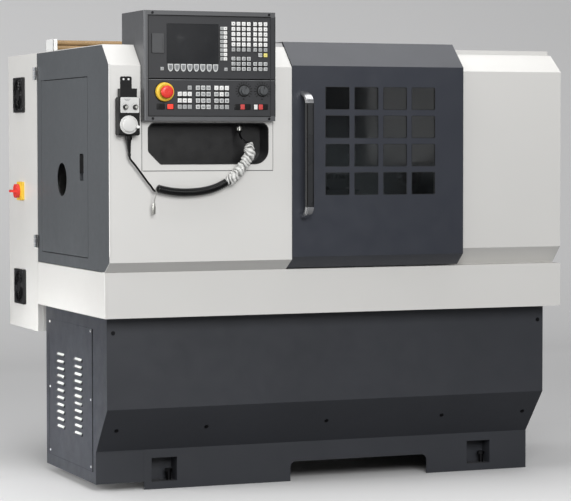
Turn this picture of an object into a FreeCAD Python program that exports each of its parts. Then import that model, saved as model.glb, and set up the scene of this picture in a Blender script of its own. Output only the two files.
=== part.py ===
"""CNC turning lathe: a flat-bed lathe in a sheet-metal enclosure on a welded base.

Millimetres, +Z up.  The origin is on the floor, at the centre of the four anchor holes
in the base's feet.  +X runs along the spindle towards the tailstock, and -Y is the
operator's side.  Every separate piece is written to its own STEP file.
"""
import FreeCAD, Part
import math
import os

V = FreeCAD.Vector

# ---------------------------------------------------------------- driving dimensions
# Positions along the machine are measured from the tray's left end, and depths from
# the tray's front face.
left_end = -851.0          # x of the chip tray's left end
tray_front = -492.0        # y of the chip tray's front face
machine_length = 1652.0
tray_depth = 777.0
tray_bottom = 588.0
tray_height = 148.0
tray_wall = 3.0
tray_flange = 62.0         # width of the inward flange at the tray's top
tray_floor = 4.0
sheet = 2.0                # folded sheet of the covers
seam = 0.8                 # gap between neighbouring covers
fit_gap = 0.05             # radial running clearance of pins and shafts
rest_gap = 0.3             # clearance of guides and loose fits

# enclosure
cover_top = 1468.0
cover_front = -53.0        # left cover's front, ahead of the tray's front
cover_length = 626.0
top_chamfer_depth = 71.0
top_chamfer_height = 69.0
bottom_chamfer_depth = 55.0
bottom_chamfer_height = 34.0
right_front = 3.0
right_drop = 13.0          # right cover's roof, below the left cover's
right_chamfer_depth = 75.0
right_chamfer_height = 60.0
right_foot_depth = 56.0
right_foot_height = 58.0
roof_front = 62.0          # roof's front edge over the opening, behind the tray's front
opening_right = 1230.0     # right jamb of the door opening, from the tray's left end
jamb_depth = 60.0

# sliding door
door_length = 622.0
door_lead = 3.0            # door's face, ahead of the left cover's face
door_low = 741.0
door_rise = 18.0           # door's top, above the left cover's
door_foot_height = 38.0
door_foot_depth = 46.0
door_crown_height = 81.0
door_crown_depth = 86.0
door_flange = 68.0
window_start = 117.0       # first window, from the door's left edge
window_pitch = 104.3
window_width = 87.0
window_bottom = 980.0
window_rise = 94.0
window_height = 75.0
window_count = 4
window_corner = 3.0        # corners of the windows, cut off straight
glass_thickness = 6.0
rail_width = 30.0
rail_height = 15.0
rail_inset = 12.0          # rail's ends, inside the enclosure's

# handle of the sliding door
handle_x = 36.0
handle_low = 903.0
handle_high = 1322.0
handle_width = 28.0
handle_thick = 22.0
handle_reach = 50.0

# base cabinet
base_inset = 29.0
base_wall = 5.0
foot_front = -295.0        # y of the base's feet at the front
apron_overhang = 124.0     # apron stands this far ahead of the foot
apron_low = 285.0
foot_top = 134.0
corner_length = 167.0      # raised left corner of the base
corner_raise = 26.0
fork_right = 418.0         # fork channel's right edge, from the tray's right end
fork_length = 513.0
fork_height = 67.0
fork_radius = 20.0
pocket_width = 90.0
pocket_height = 80.0
pocket_floor = 25.0
pocket_depth = 60.0
anchor_left = 267.0        # left anchor holes, from the tray's left end
anchor_right = 217.0       # right anchor holes, from the tray's right end
anchor_spacing_y = 526.0
anchor_radius = 9.0
bolt_offset = 26.0         # levelling bolt, beside the anchor hole
bolt_radius = 8.0

# louvered cover of the motor bay, in the base's left end
louver_cover_start = 229.0
louver_cover_width = 506.0
louver_cover_low = 66.0
louver_cover_height = 474.0
louver_starts = [336.0, 543.0]
louver_width = 94.0
louver_low = 170.0
louver_pitch = 24.9
louver_rows = 11
louver_reach = 7.0
louver_rise = 13.0

# coolant tank, slid in through the base's back
tank_right = 172.0         # tank's right end, from the tray's right end
tank_length = 620.0
tank_low = 120.0
tank_height = 300.0
tank_depth = 260.0
tank_rim = 20.0
tank_sheet = 3.0
tank_bridge = 4.0

# screws
screw_head_radius = 6.0
screw_head_height = 3.0
box_screw_inset = 7.5

# spindle and drive
spindle_y = -16.0
spindle_z = 1030.0
spindle_bore = 26.0
journal_radius = 45.0
headstock_start = 170.0
headstock_length = 390.0
headstock_half_width = 160.0
headstock_crown = 165.0
chuck_radius = 100.0
chuck_length = 80.0
flange_radius = 72.0
flange_length = 22.0
jaw_length = 38.0
spindle_pulley_radius = 75.0
motor_pulley_radius = 60.0
belt_width = 40.0
belt_thickness = 9.0
pulley_start = 66.0
motor_z = 400.0
motor_radius = 95.0
motor_length = 330.0
motor_gap = 30.0
motor_shaft_radius = 14.0

# bed and slides
bed_start = 124.0
bed_end_gap = 88.0         # bed's right end, from the tray's right end
bed_half_width = 145.0
centre_height = 185.0
bed_body_low = 640.0
way_height = 14.0
carriage_start = 840.0
carriage_length = 210.0
carriage_thick = 60.0
screw_radius = 16.0
screw_drop = 70.0          # ball screw's axis below the top of the bed
screw_offset = 38.0        # ball screw's axis ahead of the bed's side
screw_lead = 40.0          # first screw block, behind the headstock's nose face
screw_end_gap = 72.0       # last screw block, ahead of the bed's end
slide_height = 32.0
post_side = 110.0
post_height = 84.0
tailstock_end_gap = 54.0   # tailstock's back, ahead of the bed's end
tailstock_length = 180.0
quill_radius = 30.0
quill_reach = 58.0         # quill's nose, ahead of the tailstock

# electrical cabinet
cabinet_depth = 375.0
cabinet_length = 700.0
cabinet_bottom = 492.0
cabinet_door_depth = 18.0
fan_side = 125.0
fan_thick = 10.0
fan_hole = 56.0
fan_corner = 5.0
fan_sides = 28
fan_low_rise = 147.0       # lower fan's axis, above the cabinet's floor
fan_high_drop = 143.0      # upper fan's axis, below the cabinet's roof
fan_y = 994.0              # fans' axis, from the tray's front
switch_side = 66.0
switch_y = 980.0
switch_z = 982.0
switch_shaft = 5.0
switch_reach = 30.0        # grip's tip, ahead of the collar
switch_grip = 9.0
resistor_start = 95.0
resistor_length = 330.0
resistor_radius = 20.0
bracket_depth = 30.0
bracket_height = 56.0
hinge_radius = 6.0
hinge_pin = 3.0
hinge_length = 45.0
hinge_low_rise = 318.0     # lower hinge, above the cabinet's floor
hinge_high_drop = 72.0     # upper hinge, below the cabinet's roof

# side door of the headstock compartment
side_door_start = 177.0
side_door_width = 548.0
side_door_low = 775.0
side_door_height = 595.0
side_door_gap = 2.6
door_return = 16.0
hole_radius = 56.0
pintle_radius = 3.0
pintle_inset = 8.0
latch_y = 226.0
latch_width = 43.0
latch_low = 1029.0
latch_height = 88.0

# control box
box_start = 106.5
box_width = 450.0
box_height = 351.0
box_depth = 226.0
box_bottom = 1223.0
box_lead = 30.5            # box's face, ahead of the left cover's face
box_wall = 2.0
face_margin = 16.0
face_thick = 3.0
face_split = 134.0
face_split_gap = 4.0
key_rise = 2.5
dial_radius = 16.0
dial_depth = 17.0
dial_sides = 24            # grip flats around a knob
estop_radius = 20.0
estop_ring_radius = 33.0
estop_reach = 37.0
estop_bevel = 4.5
knob_shaft = 4.0

# storage tub under the control box
panel_start = 109.0
panel_width = 450.0
panel_low = 1064.0
tub_start = 129.0
tub_width = 415.0
tub_low = 1083.0
tub_height = 135.0
tub_depth = 72.0
tub_wall = 3.0

# hand-held pendant
pendant_start = 20.0
pendant_width = 71.0
pendant_low = 1176.0
pendant_height = 122.0
pendant_depth = 35.0
collar_width = 55.0
collar_height = 27.0
holder_start = 37.0
holder_width = 38.0
holder_height = 66.0
holder_thick = 3.0
pendant_dial_radius = 29.5
pendant_dial_z = 1210.0
selector_z = 1266.0
selector_radius = 8.0
selector_shaft = 3.0
gland_length = 62.0

# pendant's cord
cable_diameter = 7.0
coil_diameter = 24.0
film_diameter = 40.0
lead_diameter = 3.0
thin_sides = 8             # sides of a thin cord's section
thick_sides = 10           # sides of the coil's and the film's section

os.makedirs("parts", exist_ok=True)

# ---------------------------------------------------------------- derived planes
right_end = left_end + machine_length
right_top = cover_top - right_drop
door_high = cover_top + door_rise
tray_back = tray_front + tray_depth
tray_top = tray_bottom + tray_height
base_back = tray_back
base_front = foot_front
apron_front = base_front - apron_overhang
cover_y = tray_front + cover_front
right_y = tray_front + right_front
door_y = cover_y - door_lead
bed_top = spindle_z - centre_height
box_y = cover_y - box_lead
cabinet_back = tray_back + cabinet_depth
fan_low_z = cabinet_bottom + fan_low_rise
fan_high_z = cover_top - fan_high_drop
hinge_low_z = cabinet_bottom + hinge_low_rise
hinge_high_z = cover_top - hinge_high_drop


def along(distance):
    """x at a distance from the tray's left end."""
    return left_end + distance


def deep(distance):
    """y at a distance behind the tray's front face."""
    return tray_front + distance


# ---------------------------------------------------------------- modelling helpers
def block(x0, x1, y0, y1, z0, z1):
    return Part.makeBox(x1 - x0, y1 - y0, z1 - z0, V(x0, y0, z0))


def rod(axis, start, end, a, b, radius):
    """A cylinder along X, Y or Z, through (a, b) in the other two axes' order."""
    if axis == "x":
        return Part.makeCylinder(radius, end - start, V(start, a, b), V(1, 0, 0))
    if axis == "y":
        return Part.makeCylinder(radius, end - start, V(a, start, b), V(0, 1, 0))
    return Part.makeCylinder(radius, end - start, V(a, b, start), V(0, 0, 1))


def place(axis, at, a, b):
    """The 3-D point of a drawing's point (a, b), in the plane at a place on the axis."""
    if axis == "x":
        return V(at, a, b)
    if axis == "y":
        return V(a, at, b)
    return V(a, b, at)


def span(axis, length):
    return {"x": V(length, 0, 0), "y": V(0, length, 0), "z": V(0, 0, length)}[axis]


def outline_wire(axis, at, points):
    """A closed outline; a point (a, b, r) is a corner rounded to the radius r."""
    edges = []
    starts = []
    ends = []
    middles = []
    count = len(points)
    for i, corner in enumerate(points):
        before = points[i - 1]
        after = points[(i + 1) % count]
        radius = corner[2] if len(corner) > 2 else 0.0
        if radius <= 0:
            starts.append(corner[:2])
            ends.append(corner[:2])
            middles.append(None)
            continue
        ax, ay = before[0] - corner[0], before[1] - corner[1]
        bx, by = after[0] - corner[0], after[1] - corner[1]
        la, lb = math.hypot(ax, ay), math.hypot(bx, by)
        ax, ay, bx, by = ax / la, ay / la, bx / lb, by / lb
        half = math.acos(max(-1.0, min(1.0, ax * bx + ay * by))) / 2
        reach = radius / math.tan(half)
        starts.append((corner[0] + ax * reach, corner[1] + ay * reach))
        ends.append((corner[0] + bx * reach, corner[1] + by * reach))
        mx, my = ax + bx, ay + by
        lm = math.hypot(mx, my)
        gap = radius / math.sin(half) - radius
        middles.append((corner[0] + mx / lm * gap, corner[1] + my / lm * gap))
    for i in range(count):
        if middles[i] is not None:
            arc = Part.Arc(place(axis, at, *starts[i]), place(axis, at, *middles[i]),
                           place(axis, at, *ends[i]))
            edges.append(arc.toShape())
        here = place(axis, at, *ends[i])
        there = place(axis, at, *starts[(i + 1) % count])
        if here.distanceToPoint(there) > 1e-6:
            edges.append(Part.LineSegment(here, there).toShape())
    return Part.Wire(edges)


def prism(axis, start, end, points):
    """A solid of one outline, extruded from start to end along the axis."""
    face = Part.Face(outline_wire(axis, start, points))
    return face.extrude(span(axis, end - start))


def rounded(a0, a1, b0, b1, radius):
    return [(a0, b0, radius), (a1, b0, radius), (a1, b1, radius), (a0, b1, radius)]


def mitred(a0, a1, b0, b1, corner):
    """A rectangle with its four corners cut off."""
    return [(a0 + corner, b0), (a1 - corner, b0), (a1, b0 + corner), (a1, b1 - corner),
            (a1 - corner, b1), (a0 + corner, b1), (a0, b1 - corner), (a0, b0 + corner)]


def offset_path(points, distance):
    """An open path moved sideways to its left, with mitred corners."""
    moved = []
    for i, (a, b) in enumerate(points):
        normals = []
        for j in (i - 1, i):
            if 0 <= j < len(points) - 1:
                da = points[j + 1][0] - points[j][0]
                db = points[j + 1][1] - points[j][1]
                length = math.hypot(da, db)
                normals.append((-db / length, da / length))
        na = sum(n[0] for n in normals) / len(normals)
        nb = sum(n[1] for n in normals) / len(normals)
        size = na * na + nb * nb
        moved.append((a + na / size * distance, b + nb / size * distance))
    return moved


def flats(axis, start, end, a, b, radius, count):
    """A grip or rim with a row of flats around it."""
    turn = 2 * math.pi / count
    return prism(axis, start, end, [(a + radius * math.cos(turn * (k + 0.5)),
                                     b + radius * math.sin(turn * (k + 0.5)))
                                    for k in range(count)])


def hexagon(base, direction, radius, height):
    """A hexagonal head that stands on a surface, along a direction."""
    aside = direction.cross(V(0, 0, 1) if abs(direction.z) < 0.9 else V(1, 0, 0)).normalize()
    above = direction.cross(aside).normalize()
    corners = []
    for k in range(6):
        angle = math.radians(60 * k)
        corners.append(base + aside * (radius * math.cos(angle))
                       + above * (radius * math.sin(angle)))
    return Part.Face(Part.makePolygon(corners + corners[:1])).extrude(direction * height)


def folded(axis, start, end, path, thickness):
    """A sheet folded along an open path, with its thickness to the path's left."""
    inner = offset_path(path, thickness)
    return prism(axis, start, end, path + inner[::-1])


def closed_offset(points, distance):
    """A closed outline moved inwards (counter-clockwise outlines)."""
    ring = [points[-1]] + points + [points[0]]
    return offset_path(ring, distance)[1:-1]


def turned(profile, y, z):
    """A solid of revolution about an X axis; the profile holds (x, radius) points."""
    corners = [V(x, y, z + r) for x, r in profile]
    wire = Part.makePolygon(corners + [corners[0]])
    return Part.Face(wire).revolve(V(0, y, z), V(1, 0, 0), 360)


def fuse(shapes):
    shapes = list(shapes)
    result = shapes[0].multiFuse(shapes[1:]) if len(shapes) > 1 else shapes[0]
    return result.removeSplitter()


def cut(shape, tools):
    return shape.cut(list(tools)).removeSplitter()


def group(shapes):
    return Part.makeCompound(list(shapes))


def save(name, shape):
    shape.exportStep("parts/" + name + ".step")
    solids = len(shape.Solids)
    print("%-24s solids %3d  volume %.0f mm3" % (name, solids, shape.Volume))


# ---------------------------------------------------------------- base
def base_outline():
    """The base's side profile, counter-clockwise in (y, z)."""
    return [(base_front, 0.0), (base_back, 0.0), (base_back, tray_bottom),
            (apron_front, tray_bottom), (apron_front, apron_low), (base_front, foot_top)]


foot_x = [left_end + anchor_left, right_end - anchor_right]
foot_y = [-anchor_spacing_y / 2, anchor_spacing_y / 2]
base_left = along(base_inset)
base_right = right_end - base_inset
holder_low = pendant_low + pendant_height
belt_slot = [along(pulley_start - 14.0), along(pulley_start + belt_width + 14.0),
             spindle_y - spindle_pulley_radius - 8.0, spindle_y + spindle_pulley_radius + 8.0]

tank_x0 = right_end - tank_right - tank_length


def pocket(x, y, grow):
    """The levelling pocket of one foot, or the box that it is folded from."""
    ahead = 1.0 if y < 0 else -1.0
    face = base_front if y < 0 else base_back
    low, high = sorted((face - ahead * (1.0 - grow), face + ahead * (pocket_depth + grow)))
    half = pocket_width / 2 + grow
    bottom = 0.0 if grow else pocket_floor
    return block(x - half, x + half, low, high, bottom, pocket_floor + pocket_height + grow)


def base_cabinet():
    body = prism("x", base_left, base_right, base_outline())
    inner = [list(p) for p in closed_offset(base_outline(), base_wall)]
    inner[0][1] = -1.0
    inner[1][1] = -1.0
    cavity = prism("x", base_left + base_wall, base_right - base_wall, inner)
    cavity = cut(cavity, [pocket(x, y, base_wall) for x in foot_x for y in foot_y])
    fork_x1 = right_end - fork_right
    fork_x0 = fork_x1 - fork_length
    fork = [(fork_x0, -1.0), (fork_x1, -1.0), (fork_x1, fork_height, fork_radius),
            (fork_x0, fork_height, fork_radius)]
    tools = [cavity, prism("y", base_front - 1, base_back + 1, fork)]
    tools.append(block(base_left - 1, base_left + corner_length, base_front - 1,
                       base_back + 1, -1, corner_raise))
    # the left corner plate stands back from the foot plate beside it
    tools.append(block(base_left - 1, base_left + corner_length, base_front - 1,
                       base_front + 1.5, -1, foot_top - 3.0))
    tools += [pocket(x, y, 0.0) for x in foot_x for y in foot_y]
    tools += [rod("z", -1, pocket_floor + 1, x, y, anchor_radius)
              for x in foot_x for y in foot_y]
    tools += [rod("z", -1, pocket_floor + 1, x + bolt_offset, y, bolt_radius + fit_gap)
              for x in foot_x for y in foot_y]
    tools.append(block(belt_slot[0], belt_slot[1], belt_slot[2], belt_slot[3],
                       tray_bottom - base_wall - 1, tray_bottom + 1))
    tools.append(block(tank_x0 - 2, tank_x0 + tank_length + 2,
                       base_back - base_wall - 1, base_back + 1, tank_low - 2,
                       tank_low + tank_height + tank_bridge + 1))
    tools.append(block(base_left - 1, base_left + base_wall + 1, louver_window[0],
                       louver_window[1], louver_low, louver_low + louver_rows * louver_pitch))
    return cut(body, tools)


def levelling_bolts():
    """A hexagon-headed jack bolt in each foot, with its pad on the floor."""
    bolts = []
    for x in foot_x:
        for y in foot_y:
            cx = x + bolt_offset
            shank = rod("z", 0, pocket_floor + 28, cx, y, bolt_radius)
            head = hexagon(V(cx, y, pocket_floor + 28), V(0, 0, 1), 13.0, 10.0)
            bolts.append(fuse([shank, head]))
    return group(bolts)


# louvered cover of the motor bay
louver_cover_y = [deep(louver_cover_start), deep(louver_cover_start + louver_cover_width)]
louver_cover_z = [louver_cover_low, louver_cover_low + louver_cover_height]
louver_columns = [(deep(start), deep(start + louver_width)) for start in louver_starts]
louver_window = [louver_columns[0][0] - 6, louver_columns[1][1] + 6]


def louver_cover():
    face = base_left - sheet
    plate = block(face, base_left, louver_cover_y[0], louver_cover_y[1],
                  louver_cover_z[0], louver_cover_z[1])
    hoods = []
    slots = []
    skin = 1.2
    for row in range(louver_rows):
        z = louver_low + row * louver_pitch
        for y0, y1 in louver_columns:
            hoods.append(prism("y", y0, y1, [(face, z), (face, z + louver_rise),
                                             (face - louver_reach, z)]))
            slots.append(prism("y", y0 + skin, y1 - skin,
                               [(base_left + 1, z - 0.1), (base_left + 1, z + louver_rise - 2.5),
                                (face, z + louver_rise - 2.5),
                                (face - louver_reach + 2 * skin, z - 0.1)]))
    return cut(fuse([plate] + hoods), slots)


def cover_screws():
    """Hexagon screws of the louver cover, the apron, the slope and the holders."""
    heads = []

    def head(base, direction):
        heads.append(hexagon(base, direction, screw_head_radius, screw_head_height))

    face = base_left - sheet
    middle_z = (louver_cover_z[0] + louver_cover_z[1]) / 2
    for y in (louver_cover_y[0] + 14, louver_cover_y[1] - 14):
        for z in (louver_cover_z[0] + 14, middle_z, louver_cover_z[1] - 9):
            head(V(face, y, z), V(-1, 0, 0))
    for x in (base_left + 21, base_right - 21):
        head(V(x, apron_front, tray_bottom - 52), V(0, -1, 0))
    slope = V(0, base_front - apron_front, foot_top - apron_low)
    normal = V(0, slope.z, -slope.y).normalize()
    middle = V(0, (base_front + apron_front) / 2, (foot_top + apron_low) / 2)
    slope_length = base_right - base_left - 98
    for share in (0.0, 0.21, 0.5, 0.79, 1.0):
        head(V(base_left + 51 + share * slope_length, middle.y, middle.z), normal)
    for dx in (box_screw_inset, box_width - box_screw_inset):
        for dz in (box_screw_inset, box_height - box_screw_inset):
            head(V(along(box_start + dx), box_y, box_bottom + dz), V(0, -1, 0))
    for dx in (holder_width * 0.28, holder_width * 0.72):
        head(V(along(holder_start) + dx, cover_y - holder_thick,
               holder_low + holder_height - 9), V(0, -1, 0))
    return group(heads)


# ---------------------------------------------------------------- tray and coolant

def chip_tray():
    body = block(left_end, right_end, tray_front, tray_back, tray_bottom, tray_top)
    cavity = block(left_end + tray_wall, right_end - tray_wall, tray_front + tray_wall,
                   tray_back - tray_wall, tray_bottom + tray_floor, tray_top - tray_wall)
    mouth = block(left_end + tray_flange, right_end - tray_flange, tray_front + tray_flange,
                  tray_back - tray_flange, tray_top - tray_wall - 1, tray_top + 1)
    slot = block(belt_slot[0], belt_slot[1], belt_slot[2], belt_slot[3],
                 tray_bottom - 1, tray_top + 1)
    return cut(body, [cavity, mouth, slot])


def coolant_tank():
    """Open box slid in through the base's rear wall, behind its screwed plate."""
    x0, x1 = tank_x0, tank_x0 + tank_length
    y1 = base_back
    y0 = y1 - tank_depth
    shell = block(x0, x1, y0, y1 + tank_sheet, tank_low, tank_low + tank_height)
    inside = block(x0 + tank_sheet, x1 - tank_sheet, y0 + tank_sheet, y1 - tank_sheet,
                   tank_low + tank_sheet, tank_low + tank_height + 1)
    plate = block(x0 - tank_rim, x1 + tank_rim, y1, y1 + tank_sheet,
                  tank_low - tank_rim / 2, tank_low + tank_height + tank_rim)
    pump_x = x0 + 110
    pump = [rod("z", tank_low + tank_height, tank_low + tank_height + 8, pump_x,
                y0 + 80, 60),
            rod("z", tank_low + 30, tank_low + tank_height + 120, pump_x, y0 + 80, 38)]
    bridge = block(x0, pump_x + 70, y0, y1, tank_low + tank_height,
                   tank_low + tank_height + tank_bridge)
    return fuse([cut(shell, [inside]), plate, bridge] + pump)


# ---------------------------------------------------------------- enclosure covers
def left_profile():
    """Outside of the left cover in (y, z), from the rear of its roof to its foot."""
    return [(tray_back - sheet, cover_top),
            (cover_y + top_chamfer_depth, cover_top),
            (cover_y, cover_top - top_chamfer_height),
            (cover_y, tray_top + bottom_chamfer_height),
            (cover_y + bottom_chamfer_depth, tray_top),
            (cover_y + bottom_chamfer_depth + 22, tray_top)]


def left_cover():
    end = along(cover_length)
    skin = folded("x", left_end, end, left_profile(), sheet)
    # the jamb of the door opening is folded in along the cover's right edge
    outer = left_profile()[1:5]
    jamb_outline = outer + [(cover_y + jamb_depth + top_chamfer_depth, tray_top),
                            (cover_y + jamb_depth + top_chamfer_depth, cover_top)]
    jamb = prism("x", end - sheet, end, jamb_outline[::-1])
    box_hole = block(along(box_start) - 1, along(box_start + box_width) + 1, cover_y - 20,
                     box_y + box_depth + 1, box_bottom - 1, cover_top + 20)
    panel_hole = block(along(panel_start) - seam, along(panel_start + panel_width) + seam,
                       cover_y - 1, cover_y + sheet + 1, panel_low - seam, box_bottom + 1)
    return cut(fuse([skin, jamb]), [box_hole, panel_hole])


def tub_outline(grow):
    x0, x1 = along(tub_start) - grow, along(tub_start + tub_width) + grow
    z0, z1 = tub_low - grow, tub_low + tub_height + grow
    slant = 42.0 - grow * 0.586
    return [(x0 + slant, z0, 14.0), (x1, z0, 48.0 + grow), (x1, z1, 24.0 + grow),
            (x0, z1, 24.0 + grow), (x0, z0 + slant, 14.0)]


def service_panel():
    """Lift-off panel below the control box, with the shelf that the box stands on."""
    front = block(along(panel_start), along(panel_start + panel_width), cover_y,
                  cover_y + sheet, panel_low, box_bottom)
    shelf = block(along(panel_start), along(panel_start + panel_width), cover_y,
                  box_y + box_depth, box_bottom - sheet, box_bottom)
    hole = prism("y", cover_y - 1, cover_y + sheet + 1, tub_outline(0.0))
    return cut(fuse([front, shelf]), [hole])


def storage_tub():
    body = prism("y", cover_y - 1.5, cover_y + tub_depth, tub_outline(-0.3))
    inside = prism("y", cover_y - 3, cover_y + tub_depth - tub_wall,
                   tub_outline(-0.3 - tub_wall))
    flange = prism("y", cover_y + sheet, cover_y + 2 * sheet,
                   rounded(along(tub_start) - 12, along(tub_start + tub_width) + 12,
                           tub_low - 12, tub_low + tub_height + 2, 20.0))
    return cut(fuse([body, flange]), [inside])


def side_panel():
    """Dark end panel inside the left cover's edge, around the side door."""
    inner = offset_path(left_profile(), sheet)
    corners = [(inner[0][0], tray_top + sheet)] + inner[:4]
    corners.append((inner[4][0], tray_top + sheet))
    plate = prism("x", left_end, left_end + sheet, corners)
    y0, y1 = deep(side_door_start), deep(side_door_start + side_door_width)
    z0, z1 = side_door_low, side_door_low + side_door_height
    hole = prism("x", left_end - 1, left_end + sheet + door_return + 1,
                 rounded(y0, y1, z0, z1, 6.0))
    ring = prism("x", left_end + sheet, left_end + sheet + door_return,
                 rounded(y0 - sheet, y1 + sheet, z0 - sheet, z1 + sheet, 8.0))
    body = cut(fuse([plate, ring]), [hole])
    pins = []
    for z_from, z_to in ((z0 - sheet, z0 + 10), (z1 - 10, z1 + sheet)):
        pins.append(rod("z", z_from, z_to, left_end + pintle_inset - 2,
                        y1 - side_door_gap - pintle_inset, pintle_radius))
    return fuse([body] + pins)


def side_door():
    """Folded pan that swings on two pintles at its rear edge."""
    y0 = deep(side_door_start) + side_door_gap
    y1 = deep(side_door_start + side_door_width) - side_door_gap
    z0 = side_door_low + side_door_gap
    z1 = side_door_low + side_door_height - side_door_gap
    pan = prism("x", left_end, left_end + door_return, rounded(y0, y1, z0, z1, 5.0))
    inside = block(left_end + sheet, left_end + door_return + 1, y0 + sheet, y1 - sheet,
                   z0 + sheet, z1 - sheet)
    pins = [rod("z", z0 - 5, z0 + 12, left_end + pintle_inset - 2, y1 - pintle_inset,
                pintle_radius + fit_gap),
            rod("z", z1 - 12, z1 + 5, left_end + pintle_inset - 2, y1 - pintle_inset,
                pintle_radius + fit_gap)]
    hole = rod("x", left_end - 1, left_end + sheet + 1, spindle_y, spindle_z, hole_radius)
    latch = prism("x", left_end - 1, left_end + sheet + 1,
                  rounded(deep(latch_y) - rest_gap, deep(latch_y + latch_width) + rest_gap,
                          latch_low - rest_gap, latch_low + latch_height + rest_gap, 6.0))
    cup = block(left_end + sheet, left_end + 14, deep(latch_y) - 4,
                deep(latch_y + latch_width) + 4, latch_low - 4, latch_low + latch_height + 4)
    cup_inside = block(left_end + sheet - 1, left_end + 12, deep(latch_y) - 1,
                       deep(latch_y + latch_width) + 1, latch_low - 1,
                       latch_low + latch_height + 1)
    door = cut(fuse([cut(pan, [inside]), cup]), pins + [hole, latch, cup_inside])
    bar = rod("y", deep(latch_y) - 2, deep(latch_y + latch_width) + 2, left_end + 6,
              latch_low + latch_height - 8, 2.0)
    return fuse([door, bar])


def side_latch():
    """Paddle that lies flush in the side door and tips out about its upper bar."""
    y0, y1 = deep(latch_y), deep(latch_y + latch_width)
    top = latch_low + latch_height
    plate = prism("x", left_end, left_end + sheet,
                  rounded(y0, y1, latch_low + 26, top - 3, 5.0))
    boss = block(left_end + sheet, left_end + 9.5, y0 + 4, y1 - 4, top - 12, top - 4)
    hole = rod("y", y0 - 1, y1 + 1, left_end + 6, top - 8, 2.0 + fit_gap)
    return cut(fuse([plate, boss]), [hole])


def right_profile():
    foot = right_y + right_foot_depth
    return [(tray_back - sheet, right_top),
            (right_y + right_chamfer_depth, right_top),
            (right_y, right_top - right_chamfer_height),
            (right_y, tray_top + right_foot_height),
            (foot, tray_top), (foot + 20, tray_top)]


def right_cover():
    start = along(opening_right)
    skin = folded("x", start, right_end, right_profile(), sheet)
    inner = offset_path(right_profile(), sheet)
    end_plate = [(tray_back - sheet, tray_top), (tray_back - sheet, right_top)]
    end_plate += right_profile()[1:5]
    end = prism("x", right_end - sheet, right_end, end_plate)
    jamb_back = right_y + right_chamfer_depth + jamb_depth
    jamb = [(jamb_back, tray_top), (jamb_back, inner[0][1] + 1)] + right_profile()[1:5]
    left = prism("x", start, start + sheet, jamb)
    return fuse([skin, end, left])


def rear_cover():
    """Back wall of the enclosure, with a folded lip under the roof sheets."""
    wall = block(left_end, right_end, tray_back - sheet, tray_back, tray_top, cover_top)
    trim = block(along(cover_length) + 1, right_end + 1, tray_back - sheet - 1,
                 tray_back + 1, right_top, cover_top + 1)
    return cut(wall, [trim])


rail_y0 = tray_front + 78.0


def door_frame():
    """Roof over the door opening, its lintel and the rail that the door runs on."""
    x0, x1 = along(cover_length) + seam, along(opening_right) - seam
    path = [(tray_back - sheet, right_top), (deep(roof_front), right_top),
            (deep(roof_front), right_top - 42)]
    roof = folded("x", x0, x1, path, sheet)
    rail = prism("x", x0 + rail_inset, right_end - rail_inset,
                 [(rail_y0, right_top), (rail_y0 + rail_width, right_top),
                  (rail_y0 + rail_width, right_top + rail_height),
                  (rail_y0, right_top + rail_height)])
    return fuse([roof, rail])


# ---------------------------------------------------------------- sliding door
def door_profile():
    return [(door_y + door_crown_depth + door_flange, door_high),
            (door_y + door_crown_depth, door_high),
            (door_y, door_high - door_crown_height),
            (door_y, door_low + door_foot_height),
            (door_y + door_foot_depth, door_low)]


door_start = cover_length + seam


def window_cells():
    cells = []
    for column in range(window_count):
        for row in range(window_count):
            x0 = along(door_start + window_start + column * window_pitch)
            z0 = window_bottom + row * window_rise
            cells.append((x0, x0 + window_width, z0, z0 + window_height))
    return cells


def sliding_door():
    x0, x1 = along(door_start), along(door_start + door_length)
    skin = folded("x", x0, x1, door_profile(), sheet)
    cheek = door_profile()[1:5]
    cheek += [(door_y + door_foot_depth + 2, door_low + 1),
              (door_y + door_foot_depth - 14, door_low + door_foot_height),
              (door_y + 30, door_low + door_foot_height),
              (door_y + 30, door_high - door_crown_height),
              (door_y + door_crown_depth + 10, door_high - 1)]
    ends = [prism("x", x0, x0 + sheet, cheek), prism("x", x1 - sheet, x1, cheek)]
    body = fuse([skin] + ends)
    windows = [prism("y", door_y - 1, door_y + sheet + 1, mitred(*cell, window_corner))
               for cell in window_cells()]
    # two carriages under the door's upper flange run on the rail
    runners = []
    low = right_top + rest_gap
    for distance in (60.0, door_length - 130.0):
        rx = along(door_start + distance)
        ry0 = rail_y0
        runner = block(rx, rx + 70, ry0 - 10, ry0 + rail_width + 10,
                       right_top + 4, door_high - sheet)
        groove = block(rx - 1, rx + 71, ry0 - rest_gap, ry0 + rail_width + rest_gap,
                       low - 1, right_top + rail_height + rest_gap)
        runners.append(cut(runner, [groove]))
    return fuse([cut(body, windows)] + runners)


def door_glass():
    """Sight glass behind the door's sixteen windows, in its screwed frame."""
    cells = window_cells()
    x0, x1 = cells[0][0] - 14, cells[-1][1] + 14
    z0, z1 = cells[0][2] - 14, cells[-1][3] + 14
    return prism("y", door_y + sheet, door_y + sheet + glass_thickness,
                 rounded(x0, x1, z0, z1, 10.0))


def door_handle():
    """Straight grip with two curved ends that turn in to the door."""
    x0 = along(door_start + handle_x - handle_width / 2)
    reach = handle_reach
    path = [(door_y, handle_high), (door_y - reach, handle_high, 26.0),
            (door_y - reach, handle_low, 26.0), (door_y, handle_low),
            (door_y, handle_low + handle_thick),
            (door_y - reach + handle_thick, handle_low + handle_thick, 8.0),
            (door_y - reach + handle_thick, handle_high - handle_thick, 8.0),
            (door_y, handle_high - handle_thick)]
    bar = prism("x", x0, x0 + handle_width, path)
    return bar


# ---------------------------------------------------------------- electrical cabinet
hinge_axis_x = left_end - 8.0
hinge_axis_y = tray_back - 1.0


def knuckle(z0, z1):
    return flats("z", z0, z1, hinge_axis_x, hinge_axis_y, hinge_radius, 12)


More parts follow.
